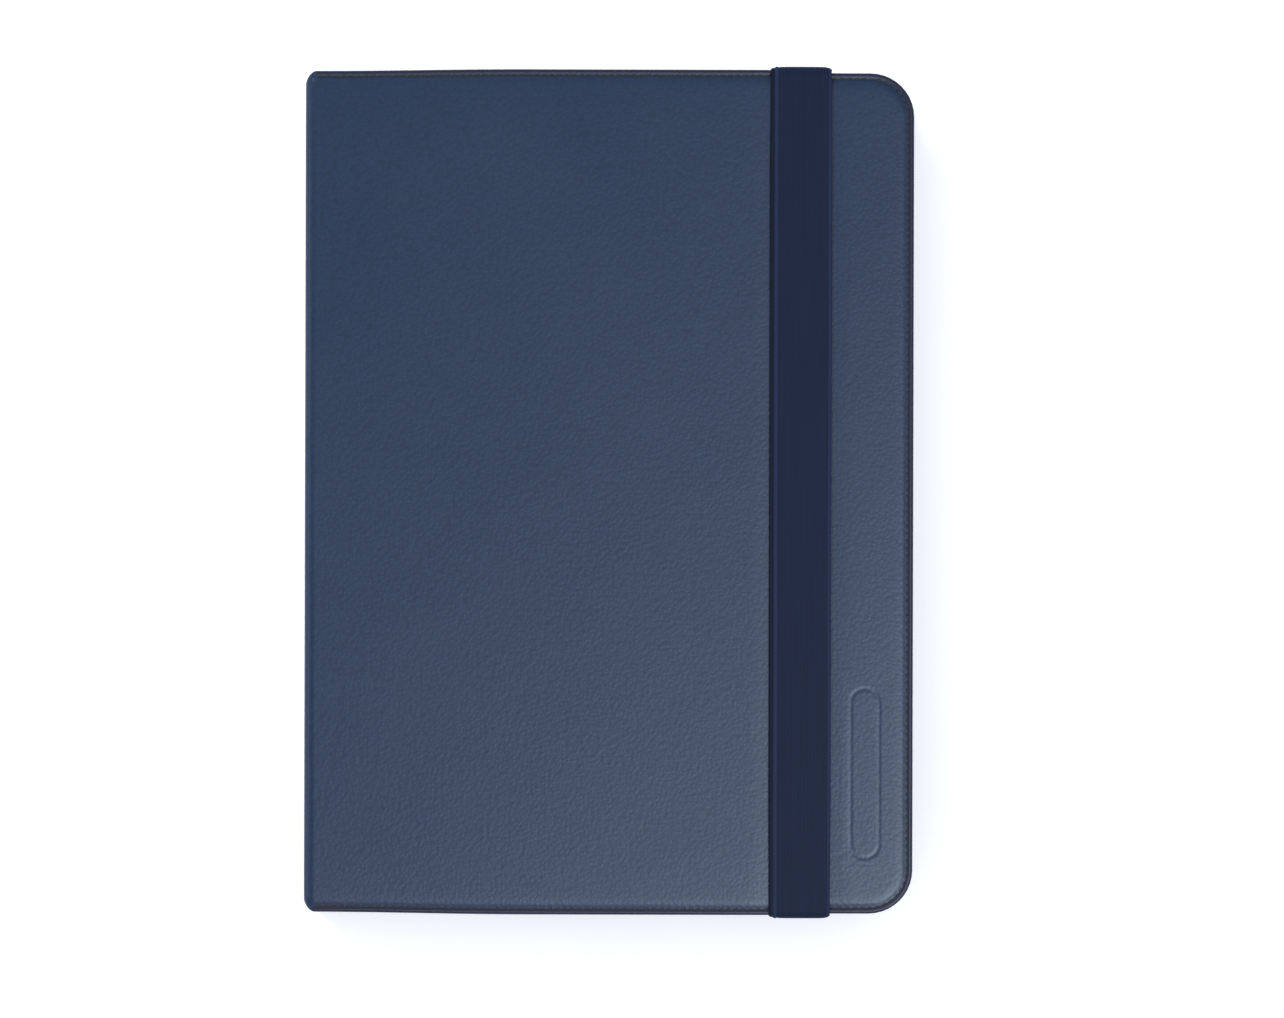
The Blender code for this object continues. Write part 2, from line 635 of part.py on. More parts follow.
def build_keyboard_shells(front):
    """The keyboard's deck and bottom plate, with their bosses, openings and screws."""
    outline = Panel(KEYBOARD_X0, KEYBOARD_X1, -KEYBOARD_Y, KEYBOARD_Y, KEYBOARD_CORNER, KEYBOARD_CORNER)
    top = front.add(
        "keyboard_top_case",
        shape(tray, outline, DECK_Z, RIM_Z, KEYBOARD_WALL, DECK, KEYBOARD_EDGE),
        "deck_plastic",
    )
    bottom = front.add(
        "keyboard_bottom_case",
        shape(plate, outline, KEYBOARD_BACK_Z, BOTTOM_Z, KEYBOARD_EDGE),
        "case_plastic",
    )
    head_seat = KEYBOARD_BACK_Z - SCREW_HEAD - 2 * FIT
    bosses = bmesh.new()
    pilots = bmesh.new()
    holes = bmesh.new()
    seats = bmesh.new()
    for number, (x, y) in enumerate(screw_places(), 1):
        drum(bosses, x, y, BOSS_RADIUS, DECK_BACK_Z - DECK / 3, RIM_Z, 12)
        drum(pilots, x, y, SCREW_THREAD_RADIUS + FIT, DECK_BACK_Z, RIM_Z + OVERCUT, 12)
        drum(holes, x, y, SCREW_THREAD_RADIUS + FIT, BOTTOM_Z - OVERCUT, KEYBOARD_BACK_Z, 12)
        drum(seats, x, y, SCREW_HEAD_RADIUS + FIT, head_seat, KEYBOARD_BACK_Z + OVERCUT, 12)
        build_screw(front, f"keyboard_screw_{number}", x, y, head_seat + FIT)
    front.change(top, bosses, "UNION")
    front.change(top, pilots)
    front.change(bottom, holes)
    front.change(bottom, seats)
    front.change(top, deck_openings())
    socket_half = SOCKET_WIDTH / 2 + FIT
    socket_x = INDICATOR_X
    front.change(
        top,
        shape(
            block, socket_x - socket_half, socket_x + socket_half, KEYBOARD_Y - KEYBOARD_WALL - OVERCUT,
            KEYBOARD_Y + OVERCUT, socket_low() - FIT, RIM_Z + OVERCUT,
        ),
    )


def deck_openings():
    """One cutter with a slot for each key row and holes for the switch, the button and the lamps."""
    cuts = bmesh.new()
    low = DECK_Z - OVERCUT
    high = DECK_BACK_Z + FIT
    reach = FIELD_Y - KEY_GAP / 2 + KEY_SIDE_CLEARANCE
    for row in range(6):
        x0, x1 = row_span(row)
        block(cuts, x0 - KEY_SIDE_CLEARANCE, x1 + KEY_SIDE_CLEARANCE, -reach, reach, low, high)
    half_knob = SWITCH_KNOB_WIDTH / 2 + FIT
    switch_end = SWITCH_Y + SWITCH_KNOB_LENGTH + SWITCH_TRAVEL + FIT
    block(cuts, INDICATOR_X - half_knob, INDICATOR_X + half_knob, SWITCH_Y - FIT, switch_end, low, high)
    drum(cuts, INDICATOR_X, CONNECT_Y, CONNECT_RADIUS + FIT, low, high, 16)
    for y in led_places():
        drum(cuts, INDICATOR_X, y, LED_RADIUS + FIT, low, high, 10)
    return cuts


def led_places():
    return [LED_FIRST_Y - LED_PITCH * index for index in range(3)]


def socket_low():
    """The socket's lowest height: it is centred between the deck and the bottom plate."""
    return (DECK_BACK_Z + BOTTOM_Z - SOCKET_HEIGHT) / 2


def build_screw(front, name, x, y, head_z):
    """One screw, head up against the bottom plate's seat and thread down into its boss."""
    rings = [
        circle(x, y, SCREW_THREAD_RADIUS, head_z - SCREW_LENGTH, 10),
        circle(x, y, SCREW_THREAD_RADIUS, head_z, 10),
        circle(x, y, SCREW_HEAD_RADIUS, head_z, 10),
        circle(x, y, SCREW_HEAD_RADIUS, head_z + SCREW_HEAD, 10),
    ]
    front.add(name, shape(loft, rings), "steel")


def build_key_stack(front):
    """Dome sheet, printed contact sheet and steel support plate behind the keys."""
    field = Panel(FIELD_X0, FIELD_X1, -FIELD_Y, FIELD_Y, steps=1).inset(-KEY_PLATE_MARGIN)
    z = STACK_Z
    layers = (
        ("dome_sheet", DOME_SHEET, "silicone"),
        ("contact_sheet", CONTACT_SHEET, "film"),
        ("keyboard_support_plate", SUPPORT_PLATE, "steel"),
    )
    for name, thickness, finish in layers:
        front.add(name, shape(plate, field, z, z + thickness), finish)
        z += thickness + FIT


def build_electronics(front):
    """Main board, charging socket, battery, switch bases and lamp windows."""
    board_z1 = BOTTOM_Z - 2 * FIT
    board_z0 = board_z1 - MAIN_BOARD_THICKNESS
    socket_y0 = KEYBOARD_Y - SOCKET_DEPTH
    half_board = MAIN_BOARD_WIDTH / 2
    board = Panel(
        INDICATOR_X - half_board, INDICATOR_X + half_board, MAIN_BOARD_START, socket_y0 - FIT, steps=2
    )
    front.add("main_board", shape(plate, board, board_z0, board_z1), "circuit")

    half = SOCKET_WIDTH / 2
    low = socket_low()
    high = low + SOCKET_HEIGHT

    def socket_ring(y, inset):
        x0, x1, z0, z1 = INDICATOR_X - half + inset, INDICATOR_X + half - inset, low + inset, high - inset
        return [Vector((x, y, z)) for x, z in ((x0, z0), (x1, z0), (x1, z1), (x0, z1))]

    mouth = KEYBOARD_Y - FIT
    rings = [
        socket_ring(socket_y0, 0.0),
        socket_ring(mouth, 0.0),
        socket_ring(mouth, SOCKET_WALL),
        socket_ring(socket_y0 + SOCKET_WALL, SOCKET_WALL),
    ]
    front.add("charge_socket", shape(loft, rings), "steel")

    cell = Panel(
        PALM_X - BATTERY_WIDTH / 2, PALM_X + BATTERY_WIDTH / 2, BATTERY_Y - BATTERY_LENGTH / 2,
        BATTERY_Y + BATTERY_LENGTH / 2, 2 * MM, 2 * MM, 2,
    )
    cell_z = (DECK_BACK_Z + BOTTOM_Z - BATTERY_THICKNESS) / 2
    front.add("battery_cell", shape(plate, cell, cell_z, cell_z + BATTERY_THICKNESS, 0.4 * MM), "battery")

    base_top = board_z0 - FIT
    travel_end = SWITCH_Y + SWITCH_KNOB_LENGTH + SWITCH_TRAVEL
    half_base = BASE_SIDE / 2
    front.add(
        "power_switch_base",
        shape(
            block, INDICATOR_X - half_base, INDICATOR_X + half_base, SWITCH_Y - FIT, travel_end + FIT,
            knob_back() + FIT, base_top,
        ),
        "case_plastic",
    )
    front.add(
        "connect_switch_base",
        shape(
            block, INDICATOR_X - half_base, INDICATOR_X + half_base, CONNECT_Y - half_base,
            CONNECT_Y + half_base, knob_back() + CONNECT_TRAVEL + FIT, base_top,
        ),
        "case_plastic",
    )
    for name, y in zip(("led_window_power", "led_window_caps", "led_window_charge"), led_places()):
        front.add(name, shape(drum, INDICATOR_X, y, LED_RADIUS, DECK_Z, DECK_BACK_Z + FIT, 8), "lamp")


def knob_back():
    """How deep the switch knob and the connect button reach behind the deck."""
    return DECK_BACK_Z + FIT


def build_controls(front):
    """The power switch's knob and the connect button, each on a body of its own."""
    half = SWITCH_KNOB_WIDTH / 2
    knob_front = DECK_Z - KNOB_PROUD
    knob = Panel(
        INDICATOR_X - half, INDICATOR_X + half, SWITCH_Y, SWITCH_Y + SWITCH_KNOB_LENGTH, 0.5 * MM, 0.5 * MM, 2
    )
    slider = Body("power_switch_axis", (INDICATOR_X, SWITCH_Y, DECK_Z), front)
    slider.add("power_switch", shape(plate, knob, knob_front, knob_back(), 0.25 * MM), "key_plastic")
    button = Body("connect_button_axis", (INDICATOR_X, CONNECT_Y, DECK_Z), front)
    rings = [
        circle(INDICATOR_X, CONNECT_Y, CONNECT_RADIUS - 0.3 * MM, knob_front, 12),
        circle(INDICATOR_X, CONNECT_Y, CONNECT_RADIUS, knob_front + 0.3 * MM, 12),
        circle(INDICATOR_X, CONNECT_Y, CONNECT_RADIUS, knob_back(), 12),
    ]
    button.add("connect_button", shape(loft, rings), "key_plastic")


def key_strip(bm, spans, x0, x1):
    """Keycaps over the given y spans, standing on the web that carries them as one row."""
    web_back = KEY_TOP_Z + KEY_CAP + KEY_WEB
    web_front = KEY_TOP_Z + KEY_CAP
    stations = sorted(y for span in spans for y in span)
    back, front = [
        [[bm.verts.new((x, y, z)) for x in (x0, x1)] for y in stations] for z in (web_back, web_front)
    ]
    for index, (low, high) in enumerate(zip(stations, stations[1:])):
        a, b = back[index], back[index + 1]
        c, d = front[index], front[index + 1]
        bm.faces.new((a[0], a[1], b[1], b[0]))
        bm.faces.new((a[0], b[0], d[0], c[0]))
        bm.faces.new((a[1], c[1], d[1], b[1]))
        if (low, high) not in spans:
            bm.faces.new((c[0], d[0], d[1], c[1]))
            continue
        corners = [
            bm.verts.new((x, y, KEY_TOP_Z))
            for x, y in (
                (x0 + KEY_TAPER, low + KEY_TAPER),
                (x0 + KEY_TAPER, high - KEY_TAPER),
                (x1 - KEY_TAPER, high - KEY_TAPER),
                (x1 - KEY_TAPER, low + KEY_TAPER),
            )
        ]
        bm.faces.new(corners)
        feet = (c[0], d[0], d[1], c[1])
        for side in range(4):
            after = (side + 1) % 4
            bm.faces.new((feet[side], feet[after], corners[after], corners[side]))
    bm.faces.new((back[0][0], front[0][0], front[0][1], back[0][1]))
    bm.faces.new((back[-1][0], back[-1][1], front[-1][1], front[-1][0]))


def build_keys(front):
    """Each group of keys on a body of its own, in its row's slot."""
    for group in KEY_GROUPS:
        x0, x1 = row_span(group.row)
        edge = FIELD_Y - group.start * KEY_UNIT
        first = edge
        spans = []
        for width in group.widths:
            spans.append((edge - width * KEY_UNIT + KEY_GAP / 2, edge - KEY_GAP / 2))
            edge -= width * KEY_UNIT
        body = Body(f"{group.name}_axis", ((x0 + x1) / 2, (first + edge) / 2, DECK_Z), front)
        body.add(group.name, shape(key_strip, spans, x0, x1), "key_plastic")


def clear_scene():
    for obj in list(bpy.data.objects):
        bpy.data.objects.remove(obj, do_unlink=True)


def main():
    clear_scene()
    back = Body("back_cover", (0, 0, 0))
    spine = Body("spine_hinge", (HINGE_X, 0, REAR_AXIS_Z), back)
    front = Body("front_cover_hinge", (HINGE_X, 0, FRONT_AXIS_Z), spine)
    stand = Body("stand_hinge", (STAND_HINGE_X, 0, STAND_AXIS_Z), back)
    band = Body("band_axis", (BAND_X, 0, 0), back)
    build_back_cover(back)
    build_cradle(back)
    build_stand(stand)
    build_band(band)
    build_spine(spine)
    build_front_cover(front)
    build_keyboard_shells(front)
    build_key_stack(front)
    build_electronics(front)
    build_controls(front)
    build_keys(front)


main()
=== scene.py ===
"""Looks of a tablet keyboard case: a leatherette folio with a woven closure band, a cradle and a keyboard.

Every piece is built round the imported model, in its frame: metres, +X from the spine to the fore-edge,
+Y along the spine and +Z up. The case is closed and lies on its back cover.
"""

import json
import logging
import math
from collections.abc import Callable, Iterable, Sequence
from dataclasses import dataclass, field
from enum import Enum

import bmesh
import bpy
from mathutils import Matrix, Vector


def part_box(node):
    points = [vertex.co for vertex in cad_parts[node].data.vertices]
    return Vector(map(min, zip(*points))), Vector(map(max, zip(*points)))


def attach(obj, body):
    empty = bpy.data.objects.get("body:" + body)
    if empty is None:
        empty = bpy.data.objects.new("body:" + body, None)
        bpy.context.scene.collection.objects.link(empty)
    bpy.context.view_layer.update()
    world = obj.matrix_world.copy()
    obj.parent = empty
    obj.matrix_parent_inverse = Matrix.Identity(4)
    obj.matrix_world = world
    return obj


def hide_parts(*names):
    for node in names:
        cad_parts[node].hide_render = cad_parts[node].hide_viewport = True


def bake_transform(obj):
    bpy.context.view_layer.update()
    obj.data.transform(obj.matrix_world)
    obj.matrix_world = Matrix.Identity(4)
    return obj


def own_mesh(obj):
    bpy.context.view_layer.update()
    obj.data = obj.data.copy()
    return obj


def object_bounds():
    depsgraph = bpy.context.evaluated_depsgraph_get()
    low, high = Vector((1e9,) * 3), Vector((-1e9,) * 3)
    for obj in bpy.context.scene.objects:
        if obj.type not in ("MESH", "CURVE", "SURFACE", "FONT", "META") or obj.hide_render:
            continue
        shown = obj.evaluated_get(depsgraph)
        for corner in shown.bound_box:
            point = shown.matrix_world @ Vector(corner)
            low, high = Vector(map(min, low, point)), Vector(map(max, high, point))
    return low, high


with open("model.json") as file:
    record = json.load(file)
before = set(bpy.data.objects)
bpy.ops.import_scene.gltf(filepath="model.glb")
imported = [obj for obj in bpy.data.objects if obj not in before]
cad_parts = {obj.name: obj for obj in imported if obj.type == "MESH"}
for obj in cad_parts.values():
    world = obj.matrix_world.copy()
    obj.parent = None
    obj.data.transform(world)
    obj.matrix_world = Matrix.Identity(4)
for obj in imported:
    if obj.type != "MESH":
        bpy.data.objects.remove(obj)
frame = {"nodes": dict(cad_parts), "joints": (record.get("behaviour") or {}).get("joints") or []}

LOG = logging.getLogger("keyboard_case")
MM = 0.001
CAD_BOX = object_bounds()
WELD = 1e-6  # metres, within which two points of one mesh are the same point
SMALLEST_CORNER = 0.3 * MM  # below which a shrinking corner keeps its radius

Pair = tuple[float, float]
Place = Callable[[float, float, float], Vector]
Colour = tuple[float, float, float, float]
WHITE: Colour = (1.0, 1.0, 1.0, 1.0)
BLACK: Colour = (0.0, 0.0, 0.0, 1.0)


def mm(*values: float) -> Vector:
    """A vector given in millimetres."""
    return Vector(values) * MM


def smooth(value: float, start: float, end: float) -> float:
    """How far value is on the way from start to end, eased at both ends."""
    share = min(max((value - start) / (end - start), 0.0), 1.0)
    return share * share * (3.0 - 2.0 * share)


def between(start: float, end: float, step: float) -> list[float]:
    """Evenly spaced values from start to end, about a step apart.

    Args:
        start: The first value.
        end: The last value.
        step: The spacing aimed at.

    Returns:
        The values, with both ends.
    """
    count = max(1, round(abs(end - start) / step))
    return [start + (end - start) * i / count for i in range(count + 1)]


def tone(red: int, green: int, blue: int) -> Colour:
    """A display colour, 0 to 255, as the linear values a shader takes."""
    def linear(level: int) -> float:
        """One level, linear."""
        share = level / 255.0
        return share / 12.92 if share <= 0.04045 else ((share + 0.055) / 1.055) ** 2.4

    return (linear(red), linear(green), linear(blue), 1.0)


# ---------------------------------------------------------------------------
# Shaders
# ---------------------------------------------------------------------------


class Link:
    """A node's output, which Python's operators extend with Math nodes."""

    def __init__(self, tree: bpy.types.NodeTree, socket: bpy.types.NodeSocket) -> None:
        """Wraps one output socket of a tree."""
        self.tree = tree
        self.socket = socket

    def math(self, operation: str, *values: "Link | float") -> "Link":
        """A Math node on this value and the others.

        Args:
            operation: The Math node's operation.
            values: What fills its inputs, in order.

        Returns:
            The node's result.
        """
        node = self.tree.nodes.new("ShaderNodeMath")
        node.operation = operation
        for socket, value in zip(node.inputs, values):
            if isinstance(value, Link):
                self.tree.links.new(value.socket, socket)
            else:
                socket.default_value = value
        return Link(self.tree, node.outputs[0])

    def __add__(self, other: "Link | float") -> "Link":
        """self + other"""
        return self.math("ADD", self, other)

    def __radd__(self, other: float) -> "Link":
        """other + self"""
        return self.math("ADD", other, self)

    def __sub__(self, other: "Link | float") -> "Link":
        """self - other"""
        return self.math("SUBTRACT", self, other)

    def __rsub__(self, other: float) -> "Link":
        """other - self"""
        return self.math("SUBTRACT", other, self)

    def __mul__(self, other: "Link | float") -> "Link":
        """self * other"""
        return self.math("MULTIPLY", self, other)

    def __rmul__(self, other: float) -> "Link":
        """other * self"""
        return self.math("MULTIPLY", other, self)

    def __pow__(self, other: float) -> "Link":
        """self ** other"""
        return self.math("POWER", self, other)

    def wave(self, pitch: float) -> "Link":
        """A wave of 0 to 1 that repeats each pitch."""
        return self.math("SINE", self * (2.0 * math.pi / pitch)) * 0.5 + 0.5

    def over(self, edge: float) -> "Link":
        """1 where this value is over the edge, and 0 elsewhere."""
        return self.math("GREATER_THAN", self, edge)


class Shader:
    """A material being made: a Principled BSDF and the nodes that feed it."""

    def __init__(self, name: str) -> None:
        """Starts the material with this name.

        Args:
            name: What it is called.
        """
        self.material = bpy.data.materials.new(name)
        self.material.use_nodes = True
        self.tree = self.material.node_tree
        self.surface = next(n for n in self.tree.nodes if n.type == "BSDF_PRINCIPLED")
        self._place: Link | None = None

    def node(self, kind: str, settings: dict, values: dict, output: str | int = 0) -> Link:
        """Adds one node.

        Args:
            kind: The node's type.
            settings: Its properties, set first.
            values: A number, colour or link for each input, by name or place.
            output: The output wanted, by name or place.

        Returns:
            That output.
        """
        node = self.tree.nodes.new(kind)
        for key, value in settings.items():
            setattr(node, key, value)
        for key, value in values.items():
            if isinstance(value, Link):
                self.tree.links.new(value.socket, node.inputs[key])
            else:
                node.inputs[key].default_value = value
        return Link(self.tree, node.outputs[output])

    @property
    def place(self) -> Link:
        """Each point's place in the object's own frame, in metres."""
        if self._place is None:
            self._place = self.node("ShaderNodeTexCoord", {}, {}, "Object")
        return self._place

    def axis(self, name: str) -> Link:
        """One coordinate of a point's place, X, Y or Z."""
        return self.node("ShaderNodeSeparateXYZ", {}, {0: self.place}, name)

    def stretched(self, along: Sequence[float]) -> Link:
        """The place with each coordinate multiplied."""
        return self.node("ShaderNodeVectorMath", {"operation": "MULTIPLY"}, {0: self.place, 1: tuple(along)})

    def noise(self, size: float, detail: float = 3.0, where: Link | None = None) -> Link:
        """Noise of 0 to 1 whose features are about size metres."""
        values = {"Vector": where or self.place, "Scale": 1.0 / size, "Detail": detail, "Roughness": 0.6}
        return self.node("ShaderNodeTexNoise", {}, values, "Fac")

    def cells(self, size: float, feature: str = "F1") -> Link:
        """Distance to the nearest of points strewn about size metres apart."""
        values = {"Vector": self.place, "Scale": 1.0 / size, "Randomness": 0.9}
        return self.node("ShaderNodeTexVoronoi", {"feature": feature}, values, "Distance")

    def ramp(self, value: Link, *stops: tuple[float, Colour]) -> Link:
        """A colour that runs through the stops, given as (value, colour).

        Args:
            value: What it follows.
            stops: Where each colour lies, two at least.

        Returns:
            The colour.
        """
        ramp = self.node("ShaderNodeValToRGB", {}, {0: value})
        elements = ramp.socket.node.color_ramp.elements
        for index, (at, colour) in enumerate(stops):
            stop = elements[index] if index < 2 else elements.new(at)
            stop.position, stop.color = at, colour
        return ramp

    def blend(self, share: "Link | float", first: "Link | Colour", second: "Link | Colour") -> Link:
        """A mix of two colours."""
        return self.node("ShaderNodeMix", {"data_type": "RGBA"}, {0: share, 6: first, 7: second}, 2)

    def feed(self, socket: str, value: "Link | float | Colour") -> None:
        """Links or sets one input of the surface."""
        if isinstance(value, Link):
            self.tree.links.new(value.socket, self.surface.inputs[socket])
        else:
            self.surface.inputs[socket].default_value = value

    def bump(self, height: Link, depth: float, strength: float = 1.0) -> None:
        """Raises the surface by a height of 0 to 1 times the depth in metres."""
        values = {"Height": height, "Distance": depth, "Strength": strength}
        self.feed("Normal", self.node("ShaderNodeBump", {}, values))


@dataclass(frozen=True)
class Finish:
    """One finish, made into a material the first time that it is used."""

    name: str
    base: Colour
    roughness: float = 0.5

    def tint(self, factor: float, lift: float = 0.0) -> Colour:
        """The base colour, brighter or darker by a factor and lifted a little."""
        return tuple(min(1.0, level * factor + lift) for level in self.base[:3]) + (1.0,)

    def paint(self, shader: Shader) -> None:
        """Adds the finish's own nodes."""

    def material(self) -> bpy.types.Material:
        """The finish's material.

        Returns:
            The material.
        """
        made = bpy.data.materials.get(self.name)
        if made is None:
            shader = Shader(self.name)
            shader.feed("Base Color", self.base)
            shader.feed("Roughness", self.roughness)
            self.paint(shader)
            made = shader.material
            made.diffuse_color = self.base
        return made


@dataclass(frozen=True)
class Leatherette(Finish):
    """Coated fabric pressed with a fine pebble grain, a little rubbed."""

    rubbed: Colour = (0.2, 0.2, 0.2, 1.0)
    pebble: float = 1.05 * MM
    relief: float = 0.11 * MM

    def paint(self, shader: Shader) -> None:
        """Pebbles with creases between them, patches of gloss and slight rubbing.

        Args:
            shader: The material being made.
        """
        pebbles = shader.cells(self.pebble, "SMOOTH_F1")
        pores = shader.noise(0.3 * MM, 2.0)
        patches = shader.noise(38.0 * MM, 4.0)
        rub = (shader.noise(7.0 * MM, 6.0) - 0.55) * 2.2
        crease = shader.ramp(pebbles, (0.2, WHITE), (0.75, BLACK))
        dark = self.tint(0.72)
        ground = shader.blend(crease, dark, self.base)
        worn = shader.node("ShaderNodeClamp", {}, {0: rub * patches * 0.5})
        shader.feed("Base Color", shader.blend(worn, ground, self.rubbed))
        shader.feed("Roughness", self.roughness + (patches - 0.5) * 0.16 + (pores - 0.5) * 0.12)
        shader.bump((1.0 - pebbles) * 0.8 + pores * 0.2, self.relief, 0.55)
        shader.feed("Specular IOR Level", 0.2)


@dataclass(frozen=True)
class Elastic(Finish):
    """Woven elastic: cords along the band, crossed by a fine weft."""

    cord: float = 0.95 * MM
    weft: float = 0.62 * MM
    # Where the band lies across X, which places its painted edge shadow and highlights
    start: float = 0.0
    width: float = 0.0

    def paint_edge_shadow_and_highlight(self, shader: Shader, ground: Link) -> Link:
        """Paints a shadow along the band's first edge, and highlights on the raised cord beside it and on its
        last edge.

        Args:
            shader: The material being made.
            ground: The weave's colour.

        Returns:
            The colour with its painted edge shadow and highlights.
        """
        across = (shader.axis("X") - self.start) * (1.0 / self.width)
        # dark masks a painted shadow along the first edge; light masks painted highlights on the raised cord
        # and the last edge
        dark = shader.ramp(across, (0.055, WHITE), (0.07, BLACK))
        light = shader.ramp(
            across, (0.07, BLACK), (0.085, WHITE), (0.12, WHITE), (0.145, BLACK), (0.94, BLACK), (0.96, WHITE)
        )
        highlight_colour = self.tint(2.2, 0.006)
        # Blends in the painted shadow, near black
        ground = shader.blend(dark * 0.65, ground, (0.002, 0.004, 0.009, 1.0))
        # Blends in the painted highlights
        return shader.blend(light * 0.55, ground, highlight_colour)

    def paint(self, shader: Shader) -> None:
        """Cords across X, and a weft along the band's way round the case.

        Args:
            shader: The material being made.
        """
        way = shader.axis("Y") + shader.axis("Z")
        across = shader.axis("X")
        cords = across.wave(self.cord)
        shifted = (way + cords * (self.weft * 0.5)).wave(self.weft)
        fuzz = shader.noise(0.22 * MM, 3.0)
        streaks = shader.noise(1.0, 3.0, shader.stretched((900.0, 45.0, 45.0)))
        weave = cords * 0.5 + shifted * 0.5
        dark = self.tint(0.6)
        light = self.tint(1.35, 0.002)
        ground = shader.blend(weave, dark, self.base)
        colour = shader.blend(streaks * 0.55, ground, light)
        # With a start and width, the band gets a painted shadow and highlights along its edges
        shader.feed("Base Color", self.paint_edge_shadow_and_highlight(shader, colour) if self.width else colour)
        shader.feed("Roughness", self.roughness + (fuzz - 0.5) * 0.2)
        shader.bump(weave * 0.8 + fuzz * 0.2, 0.1 * MM, 0.7)
        shader.feed("Specular IOR Level", 0.07)


@dataclass(frozen=True)
class Thread(Finish):
    """Twisted polyester thread."""

    def paint(self, shader: Shader) -> None:
        """Plies that wind round the thread.

        Args:
            shader: The material being made.
        """
        ply = (shader.axis("X") + shader.axis("Y") + shader.axis("Z") * 2.0).wave(0.42 * MM)
        fuzz = shader.noise(0.15 * MM, 2.0)
        dark = self.tint(0.55)
        shader.feed("Base Color", shader.blend(ply, dark, self.base))
        shader.feed("Roughness", self.roughness + (fuzz - 0.5) * 0.15)
        shader.bump(ply * 0.8 + fuzz * 0.2, 0.06 * MM, 0.8)
        shader.feed("Specular IOR Level", 0.3)


@dataclass(frozen=True)
class Microfibre(Finish):
    """Brushed suede-like lining, with its nap lying in patches."""

    def paint(self, shader: Shader) -> None:
        """Nap in clouds, over a fine fuzz.

        Args:
            shader: The material being made.
        """
        nap = shader.noise(16.0 * MM, 5.0)
        fuzz = shader.noise(0.24 * MM, 4.0)
        light = self.tint(1.7, 0.004)
        shader.feed("Base Color", shader.blend(nap * 0.6 + fuzz * 0.4, self.base, light))
        shader.feed("Roughness", self.roughness + (fuzz - 0.5) * 0.1)
        shader.bump(fuzz, 0.07 * MM, 0.6)
        shader.feed("Specular IOR Level", 0.2)
        shader.feed("Sheen Weight", 0.06)
        shader.feed("Sheen Roughness", 0.4)


@dataclass(frozen=True)
class Moulded(Finish):
    """Moulded plastic or rubber with a spark-eroded texture."""

    texture: float = 0.28 * MM
    relief: float = 0.02 * MM
    coat: float = 0.0

    def paint(self, shader: Shader) -> None:
        """A fine texture, handling marks and a slight drift of colour.

        Args:
            shader: The material being made.
        """
        sparks = shader.noise(self.texture, 4.0)
        marks = shader.noise(22.0 * MM, 6.0)
        light = self.tint(1.3, 0.004)
        shader.feed("Base Color", shader.blend(marks * 0.6, self.base, light))
        shader.feed("Roughness", self.roughness + (marks - 0.5) * 0.18 + (sparks - 0.5) * 0.1)
        shader.bump(sparks, self.relief, 0.7)
        shader.feed("Coat Weight", self.coat)
        shader.feed("Specular IOR Level", 0.2)


@dataclass(frozen=True)
class Metal(Finish):
    """Brushed or plated metal."""

    grain: tuple[float, float, float] = (60.0, 2600.0, 2600.0)

    def paint(self, shader: Shader) -> None:
        """Fine scratches along one way, and faint tarnish.

        Args:
            shader: The material being made.
        """
        lines = shader.noise(1.0, 4.0, shader.stretched(self.grain))
        stain = shader.noise(5.0 * MM, 4.0)
        dull = self.tint(0.7)
        shader.feed("Base Color", shader.blend(stain * 0.7, self.base, dull))
        shader.feed("Metallic", 1.0)
        shader.feed("Roughness", self.roughness + (lines - 0.5) * 0.25)
        shader.bump(lines, 0.01 * MM, 0.6)


@dataclass(frozen=True)
class Fibreboard(Finish):
    """Grey bookbinder's board."""

    def paint(self, shader: Shader) -> None:
        """Pressed fibres and flecks.

        Args:
            shader: The material being made.
        """
        fibres = shader.noise(1.0, 5.0, shader.stretched((700.0, 260.0, 900.0)))
        flecks = shader.noise(0.8 * MM, 2.0).over(0.64)
        dark = self.tint(0.6)
        shader.feed("Base Color", shader.blend(fibres * 0.6 + flecks * 0.3, self.base, dark))
        shader.feed("Roughness", self.roughness + (fibres - 0.5) * 0.1)
        shader.bump(fibres, 0.08 * MM, 0.6)


@dataclass(frozen=True)
class Circuit(Finish):
    """Solder mask over copper tracks."""

    copper: Colour = (0.25, 0.4, 0.12, 1.0)

    def paint(self, shader: Shader) -> None:
        """Tracks that run along the board, with pads here and there.

        Args:
            shader: The material being made.
        """
        gaps = {"Mortar Size": 0.09, "Mortar Smooth": 0.1}
        bricks = {"Vector": shader.place, "Scale": 420.0, "Brick Width": 1.6, "Row Height": 0.4, **gaps}
        tracks = shader.node("ShaderNodeTexBrick", {}, bricks, "Fac")
        pads = shader.cells(3.2 * MM).math("LESS_THAN", shader.cells(3.2 * MM), 0.14)
        share = shader.node("ShaderNodeClamp", {}, {0: tracks * 0.55 + pads})
        shader.feed("Base Color", shader.blend(share, self.base, self.copper))
        shader.feed("Roughness", self.roughness - share * 0.12)
        shader.bump(share, 0.03 * MM, 0.7)


@dataclass(frozen=True)
class Lamp(Finish):
    """Milky lens over an indicator lamp."""

    def paint(self, shader: Shader) -> None:
        """A clouded body that lets a little light through.

        Args:
            shader: The material being made.
        """
        cloud = shader.noise(0.4 * MM, 3.0)
        shader.feed("Base Color", shader.blend(cloud * 0.4, self.base, (0.9, 0.93, 0.95, 1.0)))
        shader.feed("Roughness", self.roughness + (cloud - 0.5) * 0.1)
        shader.bump(cloud, 0.01 * MM, 0.5)
        shader.feed("Transmission Weight", 0.25)
        shader.feed("Coat Weight", 0.6)


